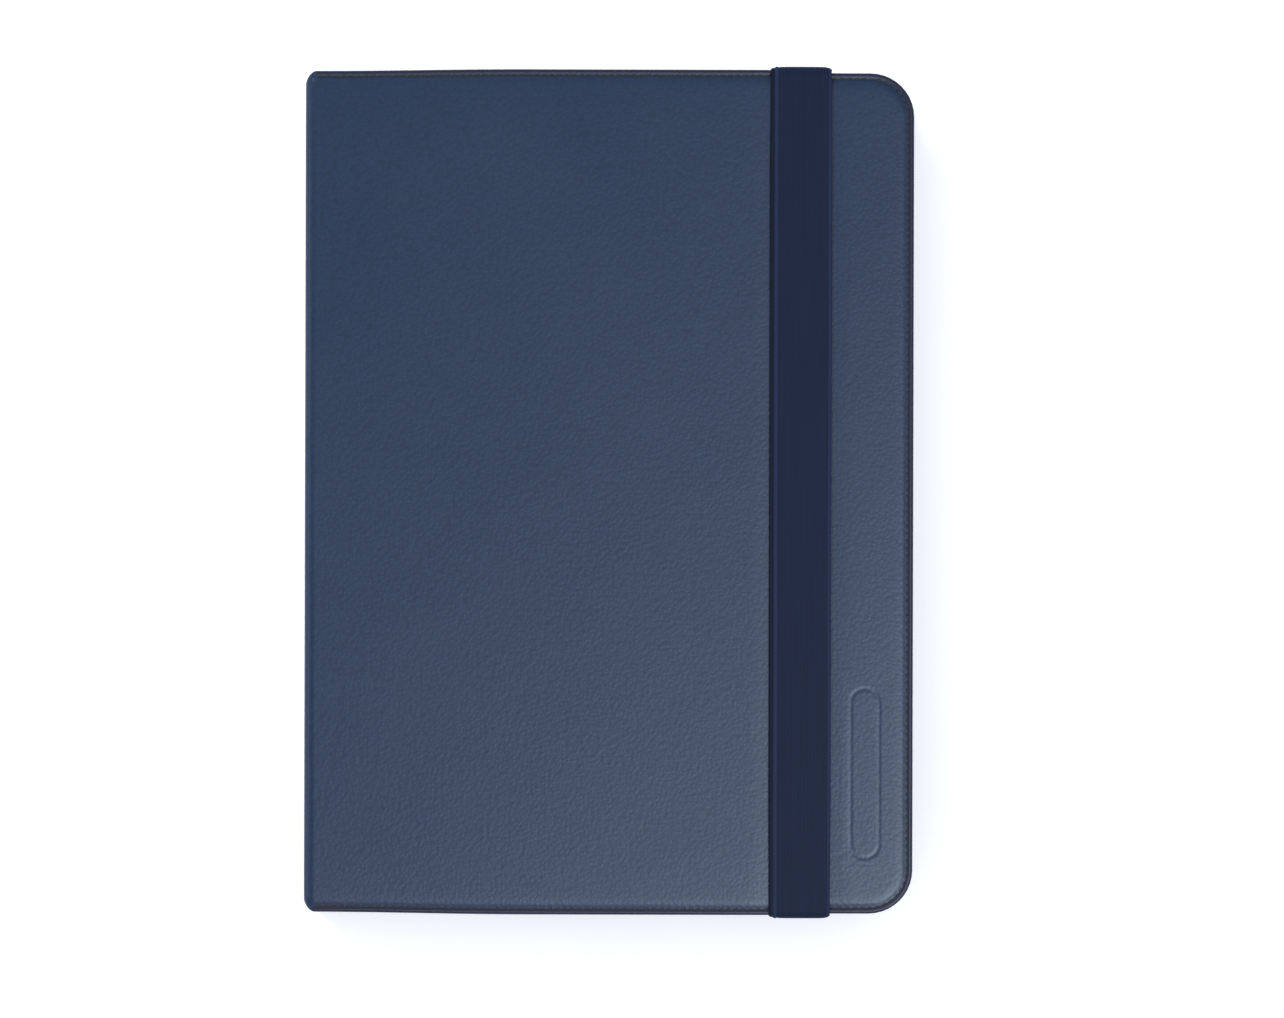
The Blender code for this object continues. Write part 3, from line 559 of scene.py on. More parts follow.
COVER = Leatherette("navy_leatherette", tone(20, 43, 72), 0.43, tone(42, 60, 88))
STITCHING = Thread("navy_thread", tone(14, 20, 34), 0.65)
BAND_SIDES = [corner.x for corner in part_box("elastic_band")]
# A darker leatherette for the seam and edge: painted shade where the cover's edge rolls away from the light
PAINTED_EDGE_SHADE = Leatherette("navy_painted_edge_shade", tone(17, 25, 50), 0.5, tone(34, 44, 70))
BAND_WIDTH = BAND_SIDES[1] - BAND_SIDES[0]
# Its start and width place the band's painted edge shadow and highlights
WEBBING = Elastic("woven_elastic", tone(19, 29, 53), 0.72, start=BAND_SIDES[0], width=BAND_WIDTH)
RIBBON = Elastic("pull_ribbon", tone(34, 42, 58), 0.6, 0.8 * MM, 0.55 * MM)
LINING = Microfibre("microfibre", tone(44, 47, 54), 0.9)
CRADLE = Moulded("cradle_plastic", tone(27, 30, 36), 0.55)
DECK = Moulded("deck_plastic", tone(42, 45, 51), 0.55, 0.35 * MM, 0.025 * MM)
CASE = Moulded("case_plastic", tone(30, 32, 36), 0.55)
KEYS = Moulded("key_plastic", tone(13, 14, 17), 0.5, 0.2 * MM, 0.015 * MM, 0.0)
INK = Moulded("legend_ink", tone(214, 217, 222), 0.5, 0.1 * MM, 0.005 * MM)
RUBBER = Moulded("silicone", tone(150, 154, 160), 0.65, 0.5 * MM, 0.03 * MM)
FOIL = Moulded("contact_film", tone(206, 214, 204), 0.3, 1.5 * MM, 0.01 * MM, 0.5)
POUCH = Metal("battery_foil", tone(196, 198, 202), 0.38, (900.0, 900.0, 900.0))
STEEL = Metal("plated_steel", tone(178, 180, 184), 0.34)
MAGNET = Metal("nickel_magnet", tone(142, 144, 150), 0.3, (300.0, 1800.0, 1800.0))
TAPE = Moulded("bonding_tape", tone(228, 226, 218), 0.7, 0.6 * MM, 0.03 * MM)
BOARD = Fibreboard("grey_board", tone(132, 126, 116), 0.85)
MASK = Circuit("circuit_board", tone(22, 84, 52), 0.4)
LENS = Lamp("lamp_lens", tone(196, 208, 214), 0.25)


# ---------------------------------------------------------------------------
# Meshes
# ---------------------------------------------------------------------------


class Mesh:
    """A mesh being made, in world coordinates."""

    def __init__(self) -> None:
        """Starts an empty mesh."""
        self.bm = bmesh.new()

    def line(self, points: Iterable[Vector]) -> list[bmesh.types.BMVert]:
        """One vertex for each point."""
        return [self.bm.verts.new(point) for point in points]

    def face(self, corners: Sequence[bmesh.types.BMVert], finish: int = 0) -> None:
        """One face, smooth, with the finish at that place in the piece's list."""
        made = self.bm.faces.new(corners)
        made.smooth, made.material_index = True, finish

    def strip(self, lines: Sequence[list[bmesh.types.BMVert]], ring: bool = False, finish: int = 0) -> None:
        """Quads between successive lines.

        Args:
            lines: Lines of vertices, all of one length.
            ring: Whether each line closes on itself.
            finish: The faces' finish.
        """
        for first, second in zip(lines, lines[1:]):
            for i in range(len(first) - (0 if ring else 1)):
                j = (i + 1) % len(first)
                self.face((first[i], first[j], second[j], second[i]), finish)

    def tube(self, rings: Sequence[Sequence[Vector]], finish: int = 0) -> None:
        """A closed solid through rings of points, capped at both ends.

        Args:
            rings: The rings, with as many points each.
            finish: The faces' finish.
        """
        lines = [self.line(ring) for ring in rings]
        self.strip(lines, True, finish)
        self.face(lines[0][::-1], finish)
        self.face(lines[-1], finish)

    def stack(
        self,
        at: Vector,
        half: Pair,
        profile: Iterable[Pair],
        radius: float,
        steps: int = 3,
        ease: float = 0.0,
    ) -> None:
        """A closed solid of level rounded rectangles, one over the other.

        Args:
            at: Its middle, where the profile's heights start.
            half: Half its widest sides along X and Y.
            profile: (inset, height) of each rectangle in millimetres.
            radius: The widest one's corner radius.
            steps: Points per corner, less one.
            ease: The share of the inset by which the corners get smaller.
        """
        rings = []
        for inset, height in profile:
            size = (half[0] - inset * MM, half[1] - inset * MM)
            corner = max(radius - inset * MM * ease, min(radius, SMALLEST_CORNER))
            rings.append(rounded(at + mm(0, 0, height), size, corner, steps))
        self.tube(rings)

    def closed(self) -> "Mesh":
        """Welds the points that meet and turns the faces outwards.

        Returns:
            This mesh.
        """
        bmesh.ops.remove_doubles(self.bm, verts=self.bm.verts, dist=WELD)
        bmesh.ops.recalc_face_normals(self.bm, faces=self.bm.faces)
        return self


class Slot(Enum):
    """The record's material slots, handed along with the made pieces; nothing reads them."""

    LEATHERETTE = "leatherette"
    MICROFIBRE = "microfibre"
    ELASTIC = "elastic"
    KEY = "key_plastic"
    LAMP = "lamp"
    BOARD = "board"


def make_object(name: str, mesh: Mesh, finishes: Sequence[Finish], sharp: float = 50.0) -> bpy.types.Object:
    """Turns a mesh into an object of the scene.

    Args:
        name: The piece's name.
        mesh: Its mesh, which this uses up.
        finishes: Its finishes, by the faces' finish numbers.
        sharp: Edges that bend by more than this many degrees stay sharp.

    Returns:
        The new object, at the world's origin.
    """
    data = bpy.data.meshes.new(name)
    mesh.bm.to_mesh(data)
    mesh.bm.free()
    for finish in finishes:
        data.materials.append(finish.material())
    data.set_sharp_from_angle(angle=math.radians(sharp))
    made = bpy.data.objects.new(name, data)
    bpy.context.scene.collection.objects.link(made)
    return made


def settle(made: bpy.types.Object, body: str, slot: Slot, *nodes: str) -> bpy.types.Object:
    """Rides a piece on its body and hides the nodes it stands for.

    Args:
        made: The piece.
        body: The body it moves with.
        slot: The record's material slot; not used.
        nodes: The nodes it replaces.

    Returns:
        The piece.
    """
    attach(made, body)
    if nodes:
        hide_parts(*nodes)
    LOG.info("%s rides on %s, %d faces", made.name, body, len(made.data.polygons))
    return made


def span(
    made: bpy.types.Object, bodies: tuple[str, str], start: Vector, end: Vector, slot: Slot, *nodes: str
) -> None:
    """Bakes a piece's place into its mesh where it crosses the joint of two bodies, and hides the nodes it
    replaces.

    Args:
        made: The piece.
        bodies: The body before start, and the body after end.
        start: Where it begins to leave the first body; not used.
        end: Where it has joined the second; not used.
        slot: The record's material slot; not used.
        nodes: The nodes it replaces.
    """
    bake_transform(made)
    if nodes:
        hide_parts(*nodes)
    LOG.info("%s spans %s and %s, %d faces", made.name, *bodies, len(made.data.polygons))


def cut(made: bpy.types.Object, cutters: Iterable[Mesh]) -> None:
    """Cuts shapes out of a piece.

    Args:
        made: The piece, whose mesh is replaced.
        cutters: The shapes to take away.
    """
    for index, cutter in enumerate(cutters):
        tool = make_object(f"{made.name}_cutter_{index}", cutter.closed(), ())
        modifier = made.modifiers.new("cut", "BOOLEAN")
        modifier.operation, modifier.object, modifier.solver = "DIFFERENCE", tool, "EXACT"
        graph = bpy.context.evaluated_depsgraph_get()
        data = bpy.data.meshes.new_from_object(made.evaluated_get(graph))
        made.modifiers.clear()
        old, made.data = made.data, data
        bpy.data.meshes.remove(old)
        bpy.data.objects.remove(tool)
    made.data.set_sharp_from_angle(angle=math.radians(35.0))


def middle_of(low: Vector, high: Vector) -> tuple[Vector, Pair]:
    """A box's middle, and half its sides along X and Y."""
    return (low + high) / 2, ((high.x - low.x) / 2, (high.y - low.y) / 2)


def rounded(middle: Vector, half: Pair, radius: float, steps: int = 3) -> list[Vector]:
    """A level rounded rectangle's points.

    Args:
        middle: Its middle.
        half: Half its sides along X and Y.
        radius: Its corners' radius.
        steps: Points per corner, less one.

    Returns:
        The points, anticlockwise.
    """
    points = []
    for quarter, (sx, sy) in enumerate(((1, 1), (-1, 1), (-1, -1), (1, -1))):
        for step in range(steps + 1):
            turn = math.radians(90.0 * (quarter + step / steps))
            out = Vector((math.cos(turn), math.sin(turn), 0.0)) * radius
            points.append(middle + Vector((sx * (half[0] - radius), sy * (half[1] - radius), 0.0)) + out)
    return points


def turned(mesh: Mesh, centre: Vector, profile: Sequence[Pair], sides: int, finish: int = 0) -> None:
    """Adds a turned solid.

    Args:
        mesh: The mesh it joins.
        centre: The point at radius and height 0.
        profile: (radius, height) from one end to the other, in metres.
        sides: Sides of the turning.
        finish: Its finish.
    """
    rings = []
    for radius, height in profile:
        turns = (2.0 * math.pi * i / sides for i in range(sides))
        rings.append([centre + Vector((radius * math.cos(t), radius * math.sin(t), height)) for t in turns])
    mesh.tube(rings, finish)


@dataclass(frozen=True)
class Panel:
    """A panel with one cut side along Y, a free side across from it, and two free ends."""

    cut_x: float
    free_x: float
    half: float
    corner: float
    step: float = 4.0 * MM
    turns: int = 10

    @property
    def way(self) -> int:
        """1 where the free side is at greater X, or -1."""
        return 1 if self.free_x > self.cut_x else -1

    @property
    def columns(self) -> list[float]:
        """X of the lines that cross the panel's middle."""
        return between(self.cut_x, self.free_x - self.way * self.corner, self.step)

    @property
    def rows(self) -> list[float]:
        """Y of the lines along the panel's middle."""
        return between(self.corner - self.half, self.half - self.corner, self.step)

    def border(self, inset: float) -> list[Pair]:
        """A line that runs round the three free sides.

        Args:
            inset: How far inside them it runs.

        Returns:
            Its points, from the cut side and back to it.
        """
        y = self.half - inset
        centre = self.free_x - self.way * self.corner
        radius = self.corner - inset
        reach = self.way * radius
        turns = [math.radians(90.0 * i / self.turns) for i in range(1, self.turns + 1)]
        line = [(x, -y) for x in self.columns]
        for turn in turns:
            line.append((centre + reach * math.sin(turn), -self.half + self.corner - radius * math.cos(turn)))
        line += [(self.free_x - self.way * inset, row) for row in self.rows[1:]]
        for turn in turns:
            line.append((centre + reach * math.cos(turn), self.half - self.corner + radius * math.sin(turn)))
        return line + [(x, y) for x in self.columns[-2::-1]]

    def solid(self, mesh: Mesh, chain: Sequence[Pair], place: Place, shaded_rows: tuple[int, int] = (0, 0)) -> None:
        """Adds a closed slab whose free sides follow a chain.

        Args:
            mesh: The mesh it joins.
            chain: (inset, depth) from one face's edge of the middle, round the side, to the other's.
            place: Gives the point at an x, y and depth.
            shaded_rows: The chain's first and last points between which the faces take finish 2, a darker
                leatherette that paints shade on the edge.
        """
        sides = [mesh.line(place(x, y, depth) for x, y in self.border(inset)) for inset, depth in chain]
        first, last = shaded_rows
        mesh.strip(sides[: first + 1])
        # Finish 2 paints shade along the seam and edge
        mesh.strip(sides[first : last + 1], finish=2)
        mesh.strip(sides[last:])
        edges = []
        for depth in (chain[0][1], chain[-1][1]):
            lines = [mesh.line(place(x, y, depth) for y in self.rows) for x in self.columns]
            mesh.strip(lines)
            edges.append(lines[0])
        mesh.strip(edges)
        for end in (0, -1):
            mesh.face([side[end] for side in sides])


def walk(points: Sequence[Vector], pitch: float) -> list[tuple[Vector, Vector]]:
    """Points an equal way apart along a line, each with the line's direction there.

    Args:
        points: The line.
        pitch: The spacing aimed at.

    Returns:
        (point, direction) pairs, half a pitch in from both ends.
    """
    lengths = [(b - a).length for a, b in zip(points, points[1:])]
    count = max(1, round(sum(lengths) / pitch))
    found, index, done = [], 0, 0.0
    for i in range(count):
        at = sum(lengths) * (i + 0.5) / count
        while index < len(lengths) - 1 and done + lengths[index] < at:
            done += lengths[index]
            index += 1
        course = points[index + 1] - points[index]
        found.append((points[index] + course * ((at - done) / lengths[index]), course.normalized()))
    return found


# (place along, girth, sink) of a stitch's rings, as shares of its length, width and height
STITCH = ((-0.5, 0.35, 0.9), (-0.32, 0.85, 0.25), (0.0, 1.0, 0.0), (0.32, 0.85, 0.25), (0.5, 0.35, 0.9))


@dataclass(frozen=True)
class Seam:
    """A run of lock stitches that lies in a seam."""

    pitch: float = 2.2 * MM
    length: float = 1.75 * MM
    width: float = 0.5 * MM
    height: float = 0.34 * MM
    slant: float = 7.0

    def sew(self, mesh: Mesh, points: Sequence[Vector], out: Vector, finish: int = 0) -> None:
        """Adds the stitches.

        Args:
            mesh: The mesh they join.
            points: The line that they follow.
            out: The way the sewn face looks.
            finish: Their finish.
        """
        for centre, course in walk(points, self.pitch):
            course = Matrix.Rotation(math.radians(self.slant), 3, out) @ course
            side = out.cross(course).normalized()
            rings = []
            for along, girth, sink in STITCH:
                middle = centre + course * (along * self.length) - out * (sink * self.height * 0.6)
                ring = []
                for i in range(6):
                    turn = math.radians(60.0 * i)
                    ring.append(
                        middle
                        + side * (math.cos(turn) * girth * self.width / 2)
                        + out * (math.sin(turn) * girth * self.height / 2)
                    )
                rings.append(ring)
            mesh.tube(rings, finish)


# ---------------------------------------------------------------------------
# Covers
# ---------------------------------------------------------------------------

# (inset, depth) in millimetres of a cover's leatherette, from its face over a sewn, turned edge to its inside
COVER_FACE = (
    (13.0, 0.0), (9.5, 0.0), (7.0, 0.0), (5.2, 0.01), (4.0, 0.05), (3.2, 0.13), (2.6, 0.3), (2.2, 0.47),
)  # fmt: skip
COVER_SEAM = (
    (1.9, 0.53), (1.6, 0.52), (1.3, 0.4), (1.05, 0.3), (0.8, 0.27), (0.5, 0.36), (0.25, 0.58), (0.07, 0.95),
)  # fmt: skip
COVER_SIDE = ((0.0, 1.4), (0.0, 2.3), (0.08, 2.85), (0.25, 3.15), (0.5, 3.28), (0.72, 3.25), (0.8, 3.1))
COVER_BACK = ((0.8, 2.2), (0.8, 1.3), (1.0, 0.95), (1.4, 0.85), (3.0, 0.82), (6.0, 0.8), (13.0, 0.8))
COVER_EDGE = COVER_FACE + COVER_SEAM + COVER_SIDE + COVER_BACK
# The edge chain's rows over the seam, which take the painted edge shade
PAINTED_SHADE_ROWS = (len(COVER_FACE) - 1, len(COVER_FACE) + len(COVER_SEAM) - 1)
PAINTED_SHADE_REACH = 2.2 * MM  # how far in from the free sides the painted edge shade reaches
SEAM_INSET = 1.75 * MM
SEAM_DEPTH = 0.42 * MM

# The same for the microfibre lining inside a cover
LINING_EDGE = (
    (13.0, 0.0), (6.0, 0.0), (3.4, 0.02), (2.7, 0.12), (2.25, 0.2), (1.9, 0.12), (1.5, 0.05),
    (1.2, 0.1), (1.0, 0.2), (0.95, 0.35), (1.0, 0.48), (1.4, 0.5), (13.0, 0.5),
)  # fmt: skip


def chain_of(pairs: Iterable[Pair], corner: float) -> list[Pair]:
    """A chain in metres, with its innermost points moved to the panel's corner radius."""
    widest = max(inset for inset, _ in pairs)
    return [(corner if inset == widest else inset * MM, depth * MM) for inset, depth in pairs]


@dataclass(frozen=True)
class Outline:
    """How the closed covers' ends leave a straight line, seen from above."""

    half: float = 125.0 * MM
    spine_pinch: float = 0.65 * MM
    pinch_from: float = -25.0 * MM
    pinch_to: float = -87.0 * MM
    top_step: float = 0.95 * MM
    bottom_step: float = 0.5 * MM
    step_from: float = 46.0 * MM
    step_to: float = 68.0 * MM

    def end(self, x: float, y: float) -> float:
        """Y of a point that lies at x and y on the straight panel.

        Args:
            x: Its place from the spine to the fore-edge.
            y: Its place along the spine.

        Returns:
            Its y on the real one.
        """
        step = self.top_step if y > 0 else self.bottom_step
        pull = self.spine_pinch * smooth(x, self.pinch_from, self.pinch_to)
        pull += step * smooth(x, self.step_from, self.step_to)
        return y * (1.0 - pull / self.half)


class Side(Enum):
    """Which of the two covers: its outer face's height and the way it looks."""

    FRONT = 1
    BACK = -1


@dataclass
class Cover:
    """The leatherette and the lining of one cover."""

    side: Side
    outline: Outline = field(default_factory=Outline)
    corner: float = 13.0 * MM
    cut_x: float = -86.5 * MM
    board: float = 1.4 * MM
    crown: float = 0.12 * MM
    press: float = 0.28 * MM
    band: Pair = (47.4 * MM, 65.7 * MM)

    def __post_init__(self) -> None:
        """Reads the cover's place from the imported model."""
        name = "front" if self.side is Side.FRONT else "back"
        self.name = f"{name}_cover"
        low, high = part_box(f"{self.name}_skin")
        self.face_z = high.z if self.side is Side.FRONT else low.z
        self.inner_z = low.z if self.side is Side.FRONT else high.z
        self.panel = Panel(self.cut_x, high.x, high.y, self.corner)

    def swell(self, x: float, y: float, depth: float) -> float:
        """How far the outer face sinks at a point: under the band, and round the padding's edge.

        Args:
            x: Its place from the spine to the fore-edge.
            y: Its place along the spine.
            depth: Its depth under the face.

        Returns:
            The distance that it moves inwards.
        """
        if depth > self.board or self.side is Side.BACK:
            return 0.0
        first, last = self.band
        pressed = smooth(x, first - 2.5 * MM, first + MM) * smooth(x, last + 3.5 * MM, last - MM)
        end, side = self.panel.half - abs(y), self.panel.free_x - x
        edge = 1.0 - smooth(end, 2.0 * MM, 16.0 * MM) * smooth(side, 2.0 * MM, 14.0 * MM)
        return self.press * pressed + self.crown * edge

    def place(self, x: float, y: float, depth: float) -> Vector:
        """The point at a place and depth of the straight panel."""
        inwards = depth + self.swell(x, y, depth)
        return Vector((x, self.outline.end(x, y), self.face_z - self.side.value * inwards))

    def lining_place(self, x: float, y: float, depth: float) -> Vector:
        """The same for the lining, whose face looks into the case."""
        return Vector((x, self.outline.end(x, y), self.inner_z + self.side.value * depth))

    def build_skin(self) -> bpy.types.Object:
        """Makes the leatherette, its seam and the painted shade on its edge.

        Returns:
            The piece.
        """
        mesh = Mesh()
        self.panel.solid(mesh, chain_of(COVER_EDGE, self.corner), self.place, PAINTED_SHADE_ROWS)
        mesh.closed()
        if self.side is Side.FRONT:
            Deboss().press(mesh, self.face_z)
        out = Vector((0.0, 0.0, float(self.side.value)))
        line = [self.place(x, y, SEAM_DEPTH) for x, y in self.panel.border(SEAM_INSET)]
        Seam().sew(mesh, line, out, 1)
        # The third finish is the darker leatherette that paints shade on the seam and edge
        return make_object(f"{self.name}_leatherette", mesh, (COVER, STITCHING, PAINTED_EDGE_SHADE))

    def build_lining(self) -> bpy.types.Object:
        """Makes the lining and its seam.

        Returns:
            The piece.
        """
        mesh = Mesh()
        self.panel.solid(mesh, chain_of(LINING_EDGE, self.corner), self.lining_place)
        mesh.closed()
        out = Vector((0.0, 0.0, -float(self.side.value)))
        line = [self.lining_place(x, y, 0.14 * MM) for x, y in self.panel.border(2.25 * MM)]
        Seam(height=0.2 * MM, width=0.4 * MM).sew(mesh, line, out, 1)
        return make_object(f"{self.name}_microfibre", mesh, (LINING, STITCHING))


@dataclass(frozen=True)
class Deboss:
    """A plain slim oblong pressed into the front cover beyond the band."""

    centre: Pair = (75.8 * MM, -83.0 * MM)
    half: Pair = (4.2 * MM, 25.0 * MM)
    line: float = 0.75 * MM
    depth: float = 0.1 * MM
    margin: float = 2.0 * MM
    reach: float = 0.6 * MM
    cuts: int = 9

    def press(self, mesh: Mesh, face_z: float) -> None:
        """Refines the face there and presses the oblong's outline in.

        Args:
            mesh: The cover's mesh.
            face_z: Its outer face's height.
        """
        edges = set()
        for face in mesh.bm.faces:
            at = face.calc_center_median()
            near_x = abs(at.x - self.centre[0]) < self.half[0] + self.margin
            near_y = abs(at.y - self.centre[1]) < self.half[1] + self.margin
            if near_x and near_y and at.z > face_z - self.reach:
                edges |= set(face.edges)
        bmesh.ops.subdivide_edges(mesh.bm, edges=list(edges), cuts=self.cuts, use_grid_fill=True)
        for vert in mesh.bm.verts:
            if vert.co.z < face_z - self.reach:
                continue
            x, y = abs(vert.co.x - self.centre[0]), abs(vert.co.y - self.centre[1])
            straight = max(self.half[1] - self.half[0], 0.0)
            away = abs(math.hypot(x, max(y - straight, 0.0)) - self.half[0])
            vert.co.z -= self.depth * (1.0 - smooth(away, self.line * 0.25, self.line))


@dataclass
class SpineWrap:
    """The leatherette and lining that carry one cover round the spine to the spine's middle."""

    side: Side
    outline: Outline = field(default_factory=Outline)
    cover: Cover | None = None
    bend: float = 3.1 * MM
    end_radius: float = 4.2 * MM
    wall: float = 2.8 * MM
    skin: float = 0.8 * MM
    turns: int = 18
    fold: float = 0.34 * MM
    fold_steps: int = 12
    fold_end: float = 1.15 * MM
    blend_reach: float = 0.75 * MM

    def __post_init__(self) -> None:
        """Reads the spine's and the cover's places."""
        self.cover = self.cover or Cover(self.side)
        self.spine_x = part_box("spine_skin")[0].x
        low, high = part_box("back_cover_skin")[0].z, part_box("front_cover_skin")[1].z
        self.middle_z = (low + high) / 2
        self.reach = (high - low) / 2

    def flip(self, x: float, y: float, height: float) -> Vector:
        """The point at a height over the spine's middle, towards this cover."""
        return Vector((x, y, self.middle_z + self.side.value * height))

    def stations(self) -> list[tuple[float, float, float, float, float]]:
        """The way round, as (x, height, normal x, normal height, share of the way to the spine).

        Returns:
            The stations, from the cover to the spine.
        """
        found = [(self.cover.cut_x, self.reach, 0.0, 1.0, 0.0)]
        centre = (self.spine_x + self.bend, self.reach - self.bend)
        for i in range(self.turns + 1):
            turn, share = math.radians(90.0 * i / self.turns), smooth(i / self.turns, 0.0, 1.0)
            nx, nz = -math.sin(turn), math.cos(turn)
            found.append((centre[0] + self.bend * nx, centre[1] + self.bend * nz, nx, nz, share))
        for height in between(self.reach - self.bend, 0.0, 1.2 * MM)[1:]:
            found.append((self.spine_x, height, -1.0, 0.0, 1.0))
        return found

    def spine_edge(self) -> list[Pair]:
        """The end's chain at the spine, point for point with the cover's: a rounded end with no seam.

        Returns:
            (inset, depth) pairs in metres.
        """
        outer = [pair for pair in COVER_EDGE[: -len(COVER_BACK)]]
        found = []
        deepest = math.acos(1.0 - self.wall / self.end_radius)
        first = next(i for i, pair in enumerate(outer) if pair[0] * MM < self.end_radius)
        for i, (inset, _) in enumerate(outer):
            turn = deepest * (i - first) / (len(outer) - 1 - first)
            arc = (self.end_radius * (1 - math.sin(turn)), self.end_radius * (1 - math.cos(turn)))
            found.append((inset * MM, 0.0) if i < first else arc)
        inner = self.end_radius - self.skin
        stop = math.acos(max(-1.0, (self.end_radius - self.wall) / inner))
        count = len(COVER_BACK)
        for i in range(count - 2):
            turn = stop * (1.0 - i / (count - 3))
            found.append((self.end_radius - inner * math.sin(turn), self.end_radius - inner * math.cos(turn)))
        return found + [(6.0 * MM, self.skin), (13.0 * MM, self.skin)]

    def build_skin(self) -> bpy.types.Object:
        """Makes the leatherette, with painted shade near its ends.

        Returns:
            The piece.
        """
        panel = self.cover.panel
        at_cover, at_spine = chain_of(COVER_EDGE, self.cover.corner), self.spine_edge()
        rings = []
        for x, height, nx, nz, share in self.stations():
            edge = [(a + (c - a) * share, b + (d - b) * share) for (a, b), (c, d) in zip(at_cover, at_spine)]
            chain = [(y, edge[0][1]) for y in panel.rows]
            chain += [(panel.half - inset, depth) for inset, depth in edge[1:]]
            chain += [(y, edge[-1][1]) for y in panel.rows[-2::-1]]
            chain += [(inset - panel.half, depth) for inset, depth in edge[-2:0:-1]]
            ring = []
            for y, depth in chain:
                sink = depth + self.cover.swell(x, y, depth) * (1.0 - share)
                ring.append(self.flip(x - nx * sink, self.outline.end(x, y), height - nz * sink))
            rings.append(ring)
        mesh = Mesh()
        mesh.tube(rings)
        # Faces near the ends take the darker leatherette that paints shade on the edge
        for face in mesh.bm.faces:
            at = face.calc_center_median()
            if panel.half - abs(at.y) < PAINTED_SHADE_REACH and at.x > self.spine_x + self.bend:
                face.material_index = 1
        return make_object(f"{self.cover.name}_spine_wrap", mesh.closed(), (COVER, PAINTED_EDGE_SHADE))

    def build_gusset(self) -> bpy.types.Object:
        """Makes the slack fold of lining inside the crease.

        Returns:
            The piece.
        """
        cut_x, lining_x = self.cover.cut_x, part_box("spine_lining")[1].x
        inner = self.reach - abs(self.cover.face_z - self.cover.inner_z)
        points = (
            (cut_x + 0.2 * MM, inner + 0.12 * MM),
            (cut_x + 1.2 * MM, inner - 0.15 * MM),
            (cut_x + MM, inner - 1.2 * MM),
            (lining_x - 0.1 * MM, inner - 1.6 * MM),
        )
        end = self.cover.panel.half - self.fold_end
        rows = between(-end, end, 8.0 * MM)
        rings = []
        for i in range(self.fold_steps + 1):
            t = i / self.fold_steps
            u = 1 - t
            weights = (u**3, 3 * t * u**2, 3 * t * t * u, t**3)
            slopes = (-3 * u**2, 3 * u**2 - 6 * t * u, 6 * t * u - 3 * t * t, 3 * t * t)
            x, z = (sum(w * p[k] for w, p in zip(weights, points)) for k in (0, 1))
            dx, dz = (sum(w * p[k] for w, p in zip(slopes, points)) for k in (0, 1))
            across = self.fold / 2 / math.hypot(dx, dz)
            nx, nz = dz * across, -dx * across
            ring = [self.flip(x + nx, self.outline.end(x, y), z + nz) for y in rows]
            ring += [self.flip(x - nx, self.outline.end(x, y), z - nz) for y in reversed(rows)]
            rings.append(ring)
        mesh = Mesh()
        mesh.tube(rings)
        return make_object(f"{self.cover.name}_gusset", mesh.closed(), (LINING,))

    def dress(self) -> None:
        """Makes both and bakes them in place between the spine and the cover."""
        name = "front_cover_hinge" if self.side is Side.FRONT else "spine_hinge"
        pivot = next(joint["pos_m"] for joint in frame["joints"] if joint["name"] == name)
        axis_x, height = pivot[0], abs(pivot[2] - self.middle_z)
        at_spine = self.flip(axis_x - self.blend_reach, 0.0, height - self.blend_reach)
        at_cover = self.flip(axis_x + self.blend_reach, 0.0, height + self.blend_reach)
        skin, gusset = self.build_skin(), self.build_gusset()
        if self.side is Side.FRONT:
            span(skin, ("spine", "front_cover"), at_spine, at_cover, Slot.LEATHERETTE, "spine_skin")
            span(gusset, ("spine", "front_cover"), at_spine, at_cover, Slot.MICROFIBRE)
        else:
            span(skin, ("back_cover", "spine"), at_cover, at_spine, Slot.LEATHERETTE)
            span(gusset, ("back_cover", "spine"), at_cover, at_spine, Slot.MICROFIBRE)


# ---------------------------------------------------------------------------
# Back cover, kickstand and band
# ---------------------------------------------------------------------------


def block(low: Vector, high: Vector, radius: float = 0.2 * MM, steps: int = 3) -> Mesh:
    """An upright block with rounded corners, between two opposite corners.

    Args:
        low: Its lowest corner.
        high: Its highest corner.
        radius: Its upright edges' radius.
        steps: Points per corner, less one.

    Returns:
        Its mesh.
    """
    middle, half = middle_of(low, high)
    mesh = Mesh()
    rise = (high.z - low.z) / 2 / MM
    mesh.stack(middle, half, ((0.0, -rise), (0.0, rise)), radius, steps)
    return mesh


